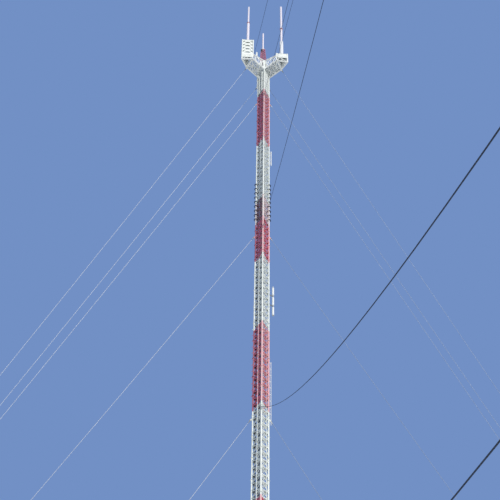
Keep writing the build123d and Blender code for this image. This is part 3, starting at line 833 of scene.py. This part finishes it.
def add_face_lines():
    """Conduits with a clamp at every bay, and an open tray under the right arm."""
    solids = Solids()
    for side, share, radius, (low, high) in FACE_LINES:
        place, out = on_face(side, share, 0.0)
        axis = place + out * (ANGLE_STAND + radius + 0.001)
        solids.rod(axis + UP * low, axis + UP * high, radius, 16)
        for line in lines_between(low, high):
            solids.disc(axis + UP * line, radius + 0.0009, 0.006, 16)
            solids.bar(place + UP * line, axis + UP * line, 0.004, 0.003)
    low, high = TRAY_RANGE
    for share in TRAY_STRIPS:
        place, out = on_face("right", share, 0.0)
        face = place + out * (ANGLE_STAND + 0.002)
        solids.bar(face + UP * low, face + UP * high, TRAY_STRIP_WIDTH, 0.0014, out)
    height = low + TRAY_RUNG_PITCH / 2
    while height < high:
        ends = [on_face("right", share, height)[0] + out * (ANGLE_STAND + 0.0006) for share in TRAY_RUNG_ENDS]
        solids.bar(*ends, 0.006, 0.0012, out)
        height += TRAY_RUNG_PITCH
    # Painted highlight: the conduits take the pale leg reds
    solids.piece("face_lines", "band_paint", "leg_highlight_paint")


# Three-armed top

def arm_low(reach):
    """Height of an arm's bottom chord at a distance from its leg's axis."""
    return DECK - ARM_ROOT_DEPTH + (ARM_ROOT_DEPTH - ARM_END_DEPTH) * reach / INNER_POST


def gusset_at(solids, centre, right, outwards):
    """Gusset plate with cut corners on the outer side of a node, with four bolts."""
    half = NODE_GUSSET
    cut = half * 0.55
    outline = [(-half, -cut), (-cut, -half), (cut, -half), (half, -cut), (half, cut), (cut, half),
               (-cut, half), (-half, cut)]
    face = centre + outwards * (CHORD_RADIUS * 0.55)
    solids.plate(face, outline, right, UP, 0.0022)
    for a in (-cut, cut):
        for b in (-cut, cut):
            solids.bolt(face + right * a + UP * b + outwards * 0.0011, outwards, 0.0013, 0.0011)


def add_ear(solids, leg, corner):
    """Guy bracket under a bottom chord's end: an ear, its boss and two stiffeners."""
    foot = LEG_OUT[leg] * OUTER_RADIUS
    level = level_towards(corner, foot)
    side = level.cross(UP)
    ear = [(-0.014, 0.0), (EAR_REACH, 0.0), (EAR_REACH, -EAR_DROP * 0.75), (EAR_REACH * 0.6, -EAR_HEIGHT),
           (-0.004, -EAR_HEIGHT), (-0.014, -EAR_DROP * 0.5)]
    stiffener = [(-0.010, -0.006), (0.010, -0.006), (0.010, 0.008), (-0.010, 0.008)]
    solids.plate(corner, ear, level, UP, EAR_THICKNESS)
    solids.disc(corner - UP * EAR_DROP, 0.0065, 0.012, 16, side)
    for way in (-1, 1):
        solids.plate(corner - UP * 0.012 + side * (way * 0.005), stiffener, level, UP, 0.004)


def add_arm(side):
    """Box truss of an arm: tube chords, laced sides, cross bars, gussets and a pointed end."""
    solids = Solids()
    out = ARM_OUT[side]
    across = out.cross(UP)
    half = UP * CHORD_HALF
    tip = out * (FACE_RADIUS + TIP_POST)
    tip_low = tip + UP * (DECK - TIP_DEPTH[side])
    tip_top = tip + UP * DECK
    length = INNER_POST - ARM_FIRST_REACH
    reaches = [ARM_FIRST_REACH + length * k / ARM_PANELS for k in range(ARM_PANELS + 1)]
    trusses = []
    for leg in FACES[side]:
        outwards = towards(LEG[leg], across)
        tops = [LEG[leg] + out * reach + UP * DECK for reach in reaches]
        lows = [LEG[leg] + out * reach + UP * arm_low(reach) for reach in reaches]
        trusses.append((tops, lows))
        solids.chord(tops[0], tops[-1])
        solids.chord(lows[0], lows[-1])
        for low, top in zip(lows, tops):
            size = CHORD_RADIUS if top is tops[-1] else LACING_RADIUS
            solids.rod(low - half, top + half, size, 12)
            gusset_at(solids, top, out, outwards)
            gusset_at(solids, low, out, outwards)
        for k in range(ARM_PANELS):
            solids.lacing(lows[k], tops[k + 1])
            solids.lacing(tops[k], lows[k + 1])
            middles = [(ring[k] + ring[k + 1]) / 2 for ring in (lows, tops)]
            solids.lacing(*middles, THIN_LACING)
        add_ear(solids, leg, lows[-1])
        solids.chord(tops[-1], tip_top)
        solids.chord(lows[-1], tip_low)
        solids.lacing(tops[-1], tip_low)
        middle_top = (tops[-1] + tip_top) / 2
        solids.lacing((lows[-1] + tip_low) / 2, middle_top)
        solids.lacing(middle_top, lows[-1])
    solids.chord(tip_low - half, tip_top + half)
    (tops, lows), (far_tops, far_lows) = trusses
    for k in range(1, ARM_PANELS + 1):
        size = CHORD_RADIUS if k == ARM_PANELS else LACING_RADIUS
        solids.lacing(tops[k], far_tops[k])
        solids.rod(lows[k], far_lows[k], size, 12)
    for k in range(ARM_PANELS):
        near, far = (tops, far_tops) if k % 2 else (far_tops, tops)
        solids.rod(near[k], far[k + 1], THIN_LACING, 8)
        solids.lacing(lows[k], far_lows[k + 1], THICK_LACING)
        solids.lacing(far_lows[k], lows[k + 1], THICK_LACING)
    solids.lacing(far_lows[-1], tops[-1])
    solids.lacing(lows[-1], far_tops[-1])
    for part in range(1, 2 * ARM_PANELS, 2):
        reach = ARM_FIRST_REACH + length * part / (2 * ARM_PANELS)
        level = UP * (arm_low(reach) - CHORD_HALF * 0.5)
        solids.lacing(*(LEG[leg] + out * reach + level for leg in FACES[side]))
    # Painted light: the arms take the brighter whites
    return solids.piece(f"truss_{side}", "white_paint", "arm_light_paint")


def cage_posts(side, width):
    """Plan points of a cage over an arm's end: its tip, then its two inner posts."""
    centre = ARM_OUT[side] * ARM_REACH
    radius = width / math.sqrt(3)
    return [centre + heading(ARM_HEADING[side] + turn) * radius for turn in (0, 120, 240)]


def add_end_slats(side):
    """Level slats on the two outer sides of an arm's end, below the deck."""
    solids = Solids()
    tip, first, second = cage_posts(side, FACE_WIDTH)
    for post, other in ((first, second), (second, first)):
        along = (post - tip).normalized()
        outwards = towards(tip + post - other * 2, along.cross(UP))
        for count in range(END_SLATS[side]):
            level = UP * (DECK - CHORD_RADIUS - SLAT_WIDTH / 2 - count * SLAT_PITCH)
            face = level + outwards * (CHORD_RADIUS + 0.0012)
            spots = [(0.006, 0.0), (0.014, 0.0)]
            solids.band(tip + face, post + face, SLAT_WIDTH, 0.0020, outwards, spots, 0.0013)
    solids.piece(f"end_slats_{side}", "white_paint")


def add_floor_grating(side):
    """Open grating of upright flats in a frame, in two lengths on the bottom chords."""
    solids = Solids()
    out = ARM_OUT[side]
    across = out.cross(UP)
    root = out * FACE_RADIUS
    rise = (out * INNER_POST + UP * (arm_low(INNER_POST) - arm_low(0.0))).normalized()
    lift = towards(UP, across.cross(rise)) * (CHORD_HALF + PLATE_GAP + 0.001)
    half = FACE_WIDTH / 2 - 0.0043
    middle = INNER_POST / 2
    lengths = ((LEG_RADIUS + 0.012, middle - 0.001), (middle + 0.001, INNER_POST - CHORD_HALF - 0.004))
    for near, far in lengths:
        ends = [root + out * reach + UP * arm_low(reach) + lift for reach in (near, far)]
        run = ends[1] - ends[0]
        for edge in (-half, half):
            solids.bar(ends[0] + across * edge, ends[1] + across * edge, 0.0016, 0.0040, across)
        for place in ends:
            solids.bar(place - across * half, place + across * half, 0.0016, 0.0040, rise)
        count = int(2 * half / FLOOR_PITCH[side])
        for k in range(1, count):
            edge = across * (2 * half * k / count - half)
            solids.bar(ends[0] + edge, ends[1] + edge, 0.0010, 0.0030, across)
        cross_count = max(int(run.length / FLOOR_CROSS_PITCH), 1)
        for k in range(1, cross_count):
            place = ends[0] + run * (k / cross_count)
            solids.rod(place - across * half, place + across * half, 0.0008)
    return solids.piece(f"grating_{side}", "zinc_steel", "grating_steel")


def add_tip_deck(side):
    """Triangular grating between the arm's end posts, under the antenna."""
    solids = Solids()
    level = UP * (DECK - CHORD_HALF - 0.004)
    corners = [post + level for post in cage_posts(side, FACE_WIDTH - 0.030)]
    out = ARM_OUT[side]
    across = (corners[2] - corners[1]).normalized()
    for k in range(3):
        solids.bar(corners[k], corners[(k + 1) % 3], 0.0020, 0.0070, across)
    middle = (corners[1] + corners[2]) / 2
    reach = (corners[0] - middle).length
    half = (corners[2] - corners[1]).length / 2
    for k in range(1, TIP_FLATS):
        place = 2 * k / TIP_FLATS - 1
        start = middle + across * (half * place)
        solids.bar(start, start + out * (reach * (1 - abs(place))), 0.0012, 0.0040, across)
    for k in range(1, TIP_CROSS_RODS):
        start = middle + out * (reach * k / TIP_CROSS_RODS)
        width = half * (1 - k / TIP_CROSS_RODS)
        solids.rod(start - across * width, start + across * width, 0.0010)
    return solids.piece(f"tip_deck_{side}", "zinc_steel")


def add_cage(name, side, rows, top_width, post_radius, band, flat, slot):
    """Three-sided cage of corner tubes and level bands, with flats that cross or meet at a gusset."""
    solids = Solids()
    height = CAGE_HEIGHT[side]
    bottom = DECK + CHORD_HALF + PLATE_GAP
    posts = cage_posts(side, FACE_WIDTH)
    tops = cage_posts(side, top_width)
    levels = []
    for row in range(rows + 1):
        share = row / rows
        level = UP * (bottom + band / 2 + (height - band) * share)
        levels.append([low + (high - low) * share + level for low, high in zip(posts, tops)])
    for low, high in zip(posts, tops):
        solids.rod(low + UP * bottom, high + UP * (bottom + height), post_radius, 16)
    half = band * 1.1
    gusset = [(-half * 1.2, half * 0.5), (-half * 0.5, -half * 0.8), (half * 0.5, -half * 0.8),
              (half * 1.2, half * 0.5)]
    spots = [(post_radius + band * 0.3, rise) for rise in (band * 0.25, -band * 0.25)]
    for row, ring in enumerate(levels):
        for k in range(3):
            start, end = ring[k], ring[(k + 1) % 3]
            along = (end - start).normalized()
            outwards = towards(start + end - ring[(k + 2) % 3] * 2, along.cross(UP))
            solids.band(start, end, band, 0.0030, outwards, spots, 0.0014)
            if row == rows:
                continue
            above = levels[row + 1][k], levels[row + 1][(k + 1) % 3]
            if name == "cage_left":
                peak = (above[0] + above[1]) / 2
                for corner in (start, end):
                    solids.bar(corner, peak, flat, 0.0025, outwards)
                solids.plate(peak - UP * (half * 0.4) + outwards * 0.002, gusset, along, UP, 0.0016)
            else:
                shift = outwards * 0.0022
                solids.bar(start, above[1], flat, 0.0020, outwards)
                solids.bar(end + shift, above[0] + shift, flat, 0.0020, outwards)
    return solids.piece(name, slot)


def add_antenna(side):
    """Round stages with chamfered ends, a bolted foot flange and red flanges at the steps."""
    seat = DECK + CHORD_HALF + 3 * PLATE_GAP + CAGE_HEIGHT[side] + CAP_THICKNESS
    place = ARM_OUT[side] * ARM_REACH + UP * seat
    body = Solids()
    pale = Solids()
    flanges = Solids()
    stages = STAGES[side]
    base = place
    for index, (radius, length) in enumerate(stages):
        bevel = min(radius * 0.25, length * 0.2)
        profile = [(0.0, radius - bevel), (bevel, radius), (length - bevel, radius), (length, radius - bevel)]
        if index == len(stages) - 1:
            profile[2:] = [(length - radius * 0.8, radius), (length - radius * 0.35, radius * 0.86),
                           (length - radius * 0.08, radius * 0.5), (length, radius * 0.12)]
        if length < LONGEST_FLANGE:
            flanges.flange(base + UP * (length / 2), UP, radius, length * 0.42, 8)
            flanges.disc(base + UP * (length / 2), radius * 0.7, length)
        elif side == "right" and index == 0:
            pale.turned(base, UP, profile, ROUND_SIDES)
        else:
            body.turned(base, UP, profile, ROUND_SIDES)
            for share in (0.25, 0.5, 0.75):
                body.disc(base + UP * (length * share + SEAM / 2), radius + 0.0003, SEAM, ROUND_SIDES)
        base = base + UP * length
    foot = stages[0][0]
    flanges.disc(place + UP * 0.0015, foot + 0.004, 0.003, ROUND_SIDES)
    flanges.bolt_circle(place + UP * 0.003, 10, foot + 0.0022, 0.0012, 0.0012)
    antenna = body.piece(f"radome_{side}", "radome")
    if pale.points:
        pale.piece(f"lower_radome_{side}", "radome", "pale_radome")
    flanges.piece(f"flanges_{side}", "radome", "red_flange")
    return antenna


def add_deck_post():
    """Small white post with a bolted foot."""
    solids = Solids()
    place = LEG["near"] + ARM_OUT["left"] * POST_REACH + UP * (DECK + CHORD_HALF + PLATE_GAP)
    foot = POST_RADIUS + 0.003
    profile = [(0.0, foot), (0.004, foot), (0.005, POST_RADIUS), (POST_HEIGHT - 0.012, POST_RADIUS)]
    profile += [(POST_HEIGHT - 0.006, POST_RADIUS * 0.8), (POST_HEIGHT - 0.001, POST_RADIUS * 0.3)]
    solids.turned(place, UP, profile)
    solids.bolt_circle(place + UP * 0.004, 6, POST_RADIUS + 0.0017, 0.0009, 0.0009)
    # Painted light: the post takes the brighter arm whites
    return solids.piece("cover_post", "white_cover", "arm_light_paint")


def add_spire_lamp():
    """Dark lamp housing beside the spire's top, on a short bracket."""
    solids = Solids()
    level = DECK + CHORD_HALF + SPIRE_HEIGHT - SPIRE_LAMP_DROP
    out = heading(SPIRE_LAMP_HEADING)
    place = ARM_OUT["back"] * ARM_REACH + out * SPIRE_LAMP_REACH + UP * level
    profile = [(0.0, 0.010), (0.004, 0.012), (0.052, 0.012), (0.060, 0.009), (0.068, 0.003)]
    solids.turned(place, UP, profile, 20)
    inner = place - out * (SPIRE_LAMP_REACH - 0.020)
    for height in (0.010, 0.044):
        solids.bar(inner + UP * height, place + UP * height, 0.0030, 0.0080)
    solids.piece("spire_lamp", "spire_paint", "dark_steel")


def clamp_at(solids, height, offset, radius):
    """Bracket from the right leg to a rod beside it, with a clamp at each end and its bolts."""
    side = LEG_OUT["right"].cross(UP)
    start = beside("right", LEG_RADIUS, height)
    end = beside("right", offset, height)
    for way in (-1, 1):
        shift = side * (way * 0.0025)
        solids.bar(start + shift, end + shift, 0.0015, 0.0070, side)
    solids.disc(beside("right", 0.0, height), LEG_RADIUS + 0.0014, 0.007, 20)
    solids.disc(end, radius + 0.0014, 0.007, 20)
    for step in (0.3, 0.7):
        spot = start + (end - start) * step
        solids.rod(spot - side * 0.0045, spot + side * 0.0045, 0.0010)


def add_bar_antenna():
    solids = Solids()
    top = BAR_LENGTH
    profile = [(0.0, BAR_RADIUS * 0.6), (0.003, BAR_RADIUS), (top - 0.006, BAR_RADIUS),
               (top - 0.002, BAR_RADIUS * 0.7), (top, BAR_RADIUS * 0.2)]
    solids.turned(beside("right", BAR_OFFSET, BAR_BOTTOM), UP, profile)
    for height in (BAR_BOTTOM + BAR_CLAMP_INSET, BAR_BOTTOM + BAR_LENGTH - BAR_CLAMP_INSET):
        clamp_at(solids, height, BAR_OFFSET, BAR_RADIUS)
    return solids.piece("cover_bar", "white_cover")


def add_triple_antenna():
    """Three drums on a thin core, which clamps hold in the gaps."""
    solids = Solids()
    core = Solids()
    ends = [beside("right", TRIPLE_OFFSET, TRIPLE_BOTTOM + rise) for rise in (0.0, TRIPLE_LENGTH)]
    core.rod(*ends, TRIPLE_CORE, 16)
    drum = (TRIPLE_LENGTH - TRIPLE_SPIGOT - (DRUM_COUNT - 1) * DRUM_GAP) / DRUM_COUNT
    profile = [(0.0, TRIPLE_RADIUS * 0.7), (0.004, TRIPLE_RADIUS), (drum - 0.004, TRIPLE_RADIUS),
               (drum, TRIPLE_RADIUS * 0.7)]
    for count in range(DRUM_COUNT):
        bottom = TRIPLE_BOTTOM + count * (drum + DRUM_GAP)
        place = beside("right", TRIPLE_OFFSET, bottom)
        solids.turned(place, UP, profile, DRUM_SIDES)
        for level in (0.012, drum - 0.014):
            solids.disc(place + UP * (level + SEAM / 2), TRIPLE_RADIUS + 0.0005, SEAM, DRUM_SIDES)
        if count < DRUM_COUNT - 1:
            clamp_at(core, bottom + drum + DRUM_GAP / 2, TRIPLE_OFFSET, TRIPLE_CORE)
    core.piece("core_triple", "white_cover", "zinc_steel")
    return solids.piece("cover_triple", "white_cover")


# Stays, anchors and base

def add_socket(solids, place, along):
    """Rope socket: a cone on the rope, a fork with two cheeks, and its pin."""
    level = UP.cross(along).normalized()
    cone = [(0.012, 0.0046), (0.020, 0.0046), (0.036, 0.0032), (SOCKET_LENGTH, 0.0021)]
    solids.turned(place, along, cone, 16)
    for way in (-1, 1):
        start = place + level * (way * 0.0042)
        solids.bar(start - along * 0.003, start + along * 0.016, 0.0016, 0.0080, level)
    solids.rod(place - level * 0.0062, place + level * 0.0062, 0.0020, 12)


def add_screw(solids, place, along):
    """Turnbuckle above a lower socket: two screws between three cross plates."""
    level = UP.cross(along).normalized()
    screw = place + along * SOCKET_LENGTH
    cross_plate = [(-0.008, -0.003), (0.008, -0.003), (0.008, 0.003), (-0.008, 0.003)]
    for way in (-1, 1):
        shift = level * (way * 0.0045)
        solids.rod(screw + shift, screw + along * SCREW_LENGTH + shift, 0.0014, 10)
    for step in (0.0, 0.055, 0.106):
        solids.plate(screw + along * (step + 0.002), cross_plate, level, along.cross(level), 0.004)


def stay_ends(name):
    """Ends of each stay of a leg, for its outer and its inner anchor, with the sag."""
    out = LEG_OUT[name]
    across = UP.cross(out)
    outer = []
    for side in ARM_HEADING:
        if name not in FACES[side]:
            continue
        corner = LEG[name] + ARM_OUT[side] * INNER_POST + UP * (arm_low(INNER_POST) - EAR_DROP)
        foot = out * OUTER_RADIUS
        level = level_towards(corner, foot)
        shift = towards(corner - LEG[name], across) * (TWIN_SPREAD / 2)
        end = out * (OUTER_RADIUS - PLATE_GAP) + shift + UP * STAY_FOOT_TOP
        outer.append((corner + level * (EAR_REACH + PLATE_GAP), end))
    start = beside(name, LEG_RADIUS + LUG_REACH + PLATE_GAP)
    for k, level in enumerate(OUTER_LEVELS):
        foot = out * (OUTER_RADIUS - PLATE_GAP) + UP * (STAY_FOOT_TOP - (k + 1) * STAY_FOOT_STEP)
        outer.append((start + UP * level, foot))
    inner = []
    for k, level in enumerate(INNER_LEVELS):
        foot = out * (INNER_RADIUS - PLATE_GAP) + UP * (STAY_FOOT_TOP - k * STAY_FOOT_STEP)
        inner.append((start + UP * level, foot))
    return {"outer": (outer, OUTER_SAG, OUTER_RADIUS), "inner": (inner, INNER_SAG, INNER_RADIUS)}


def add_head(solids, name, radius):
    """Steel head of an anchor: upright plates with a raked back, a base plate and its bolts."""
    out = LEG_OUT[name]
    across = out.cross(UP)
    root = out * radius + UP * BLOCK_HEIGHT
    half = HEAD_WIDTH / 2
    heel = HEAD_FOOT + 0.012
    wing = HEAD_WIDTH * 0.9
    raked = [(0.0, 0.0), (HEAD_FOOT, 0.0), (HEAD_FRONT, HEAD_HEIGHT), (0.0, HEAD_HEIGHT)]
    for place in (-half + HEAD_PLATE / 2, 0.0, half - HEAD_PLATE / 2):
        solids.plate(root + across * place, raked, out, UP, HEAD_PLATE)
    front = [(-half, 0.0), (half, 0.0), (half, HEAD_HEIGHT), (-half, HEAD_HEIGHT)]
    solids.plate(root + out * 0.003, front, across, UP, 0.006)
    foot = [(-0.004, -wing), (heel, -wing), (heel, wing), (-0.004, wing)]
    solids.plate(root + UP * 0.002, foot, out, across, 0.004)
    for a in (0.010, HEAD_FOOT * 0.5, HEAD_FOOT):
        for b in (-1, 1):
            spot = root + out * a + across * (b * HEAD_WIDTH * 0.72) + UP * 0.004
            solids.bolt(spot, UP, 0.0042, 0.0035)
            solids.rod(spot, spot + UP * 0.010, 0.0022, 12)


def add_block(solids, centre, out):
    """Cast block with chamfered top edges."""
    across = out.cross(UP)
    levels = [(0.0, 0.0), (0.004, 0.0), (BLOCK_HEIGHT - BLOCK_BEVEL, 0.0), (BLOCK_HEIGHT, BLOCK_BEVEL)]
    points = []
    for height, inset in levels:
        length = out * (BLOCK_LENGTH / 2 - inset)
        width = across * (BLOCK_WIDTH / 2 - inset)
        for a, b in CORNERS:
            points.append(centre + length * a + width * b + UP * height)
    faces = [[0, 1, 2, 3], [12, 15, 14, 13]]
    for row in range(3):
        for k in range(4):
            low, high = row * 4, row * 4 + 4
            faces.append([low + k, high + k, high + (k + 1) % 4, low + (k + 1) % 4])
    solids.add(points, faces)


def add_stays(name):
    """Ropes, fittings and blocks of the two anchors in a leg's direction."""
    for word, (ends, sag, radius) in stay_ends(name).items():
        ropes = Solids()
        fittings = Solids()
        block = Solids()
        for start, end in ends:
            ropes.rope(start, end, sag, STAY_RADIUS)
            run = end - start
            drop = UP * (4 * sag * run.length)
            up_the_rope = -(run + drop).normalized()
            add_socket(fittings, start, (run - drop).normalized())
            add_socket(fittings, end, up_the_rope)
            add_screw(fittings, end, up_the_rope)
        add_head(fittings, name, radius)
        # The near and right ropes get painted shade, the left ropes the plain rope colour
        rope = ropes.piece(f"ropes_{word}_{name}", "stay_rope", ROPE_MATERIAL[name])
        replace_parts(rope, f"stays_{word}_{name}")
        fittings.piece(f"fittings_{word}_{name}", "zinc_steel")
        out = LEG_OUT[name]
        add_block(block, out * (radius + HEAD_FOOT / 2), out)
        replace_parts(block.piece(f"block_{word}_{name}", "concrete"), f"anchor_{word}_{name}")


def add_base():
    """Bolts and stiffeners of the bearing and of the tapered foot."""
    solids = Solids()
    half = BEARING_PLATE_WIDTH / 2 - BEARING_BOLT_INSET
    top = PIER_TOP + BEARING_PLATE_THICKNESS
    for a in (-1, 0, 1):
        for b in (-1, 0, 1):
            if a or b:
                spot = Vector((a * half, b * half, top))
                solids.rod(spot, spot + UP * 0.0012, 0.0062, 20)
                solids.bolt(spot + UP * 0.0012, UP, 0.0044, 0.0036)
                solids.rod(spot, spot + UP * 0.010, 0.0024, 12)
    fin = [(-0.006, 0.0), (0.020, 0.0), (0.020, 0.002), (-0.002, 0.007), (-0.006, 0.007)]
    for k in range(8):
        spoke = heading(45.0 * k + 22.5)
        solids.plate(spoke * 0.040 + UP * top, fin, spoke, UP, 0.0025)
    solids.piece("bearing_bolts", "zinc_steel")
    painted = Solids()
    painted.bolt_circle(UP * HUB_TOP, 12, HUB_BOLT_CIRCLE, 0.0026, 0.0024)
    rib = [(0.0, 0.0), (0.016, 0.0), (0.004, -0.022), (0.0, -0.022)]
    for name in LEG:
        shoe = LEG[name] + UP * SHAFT_FOOT
        under = LEG[name] + UP * (SHAFT_FOOT - FOOT_PLATE_THICKNESS)
        for turn in (90.0, -90.0):
            along = heading(LEG_HEADING[name] + turn)
            painted.plate(under + along * 0.004, rib, along, UP, 0.0030)
        painted.bolt_circle(shoe, 6, FOOT_BOLT_CIRCLE, 0.0016, 0.0016, LEG_HEADING[name] + 30.0)
        painted.turned(shoe, UP, [(0.0, 0.0105), (0.003, 0.0105), (0.009, LEG_RADIUS + 0.0006)])
    painted.piece("foot_fittings", "band_paint")


def add_deck_fittings():
    """Bolts of the top plate and of the cap plates."""
    solids = Solids()
    for name in LEG:
        for turn in (60.0, 120.0, 180.0, 240.0, 300.0):
            spot = LEG[name] * 0.93 + heading(LEG_HEADING[name] + turn) * 0.008 + UP * (DECK + 0.004)
            solids.bolt(spot, UP, 0.0013, 0.0012)
    for side in ("left", "right"):
        top = UP * (DECK + CHORD_HALF + 2 * PLATE_GAP + CAGE_HEIGHT[side] + CAP_THICKNESS)
        corners = cage_posts(side, FACE_WIDTH)
        for k in range(3):
            start, end = corners[k], corners[(k + 1) % 3]
            for share in (0.06, 0.2, 0.35, 0.5, 0.65, 0.8, 0.94):
                solids.bolt(start + (end - start) * share + top, UP, 0.0014, 0.0013)
    solids.piece("deck_bolts", "white_paint")


def add_floor():
    """Pale studio floor, faintly mottled."""
    mesh = bpy.data.meshes.new("floor")
    corners = [(a * FLOOR_REACH, b * FLOOR_REACH, 0.0) for a, b in CORNERS]
    mesh.from_pydata(corners, [], [(0, 1, 2, 3)])
    surface = Surface("floor")
    tint = surface.spread(surface.noise(0.4), 0.3, 0.7)
    surface.look("Base Color", surface.mix(tint, (0.85, 0.87, 0.88), (0.89, 0.90, 0.91)))
    surface.look("Roughness", 0.9)
    mesh.materials.append(surface.material)
    add_object(mesh)


add_camera()
add_world(seen=(0.168, 0.279, 0.558), light=(0.66, 0.82, 1.0), strength=0.19)
add_sun("key", 17.0, 36.0, 3.05, 3.0, (1.0, 0.98, 0.94))
add_floor()
for side in FACES:
    for section, word in enumerate(SECTIONS):
        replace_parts(add_bracing(side, section), f"bracing_{side}_{word}")
for name in LEG:
    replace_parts(add_leg(name), f"leg_{name}")
    add_lugs(name)
add_ladder()
add_feeders()
add_side_fittings()
add_face_lines()
for side in ARM_HEADING:
    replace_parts(add_arm(side), f"arm_{side}")
    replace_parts(add_floor_grating(side), f"floor_{side}")
    add_tip_deck(side)
for side in END_SLATS:
    add_end_slats(side)
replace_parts(add_cage("cage_left", "left", 4, FACE_WIDTH, 0.0100, 0.038, 0.026, "white_paint"), "tall_cage")
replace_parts(add_cage("cage_right", "right", 1, FACE_WIDTH, 0.0100, 0.024, 0.022, "white_paint"), "short_cage")
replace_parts(add_cage("cage_back", "back", 14, SPIRE_TOP_WIDTH, 0.0070, 0.012, 0.010, "spire_paint"), "spire")
for side in CAGE_HEIGHT:
    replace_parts(add_antenna(side), f"antenna_{side}")
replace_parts(add_deck_post(), "deck_post")
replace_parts(add_bar_antenna(), "bar_antenna")
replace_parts(add_triple_antenna(), "triple_antenna")
for name in LEG:
    add_stays(name)
add_base()
add_deck_fittings()
add_spire_lamp()

bpy.context.scene.view_settings.view_transform = "Standard"
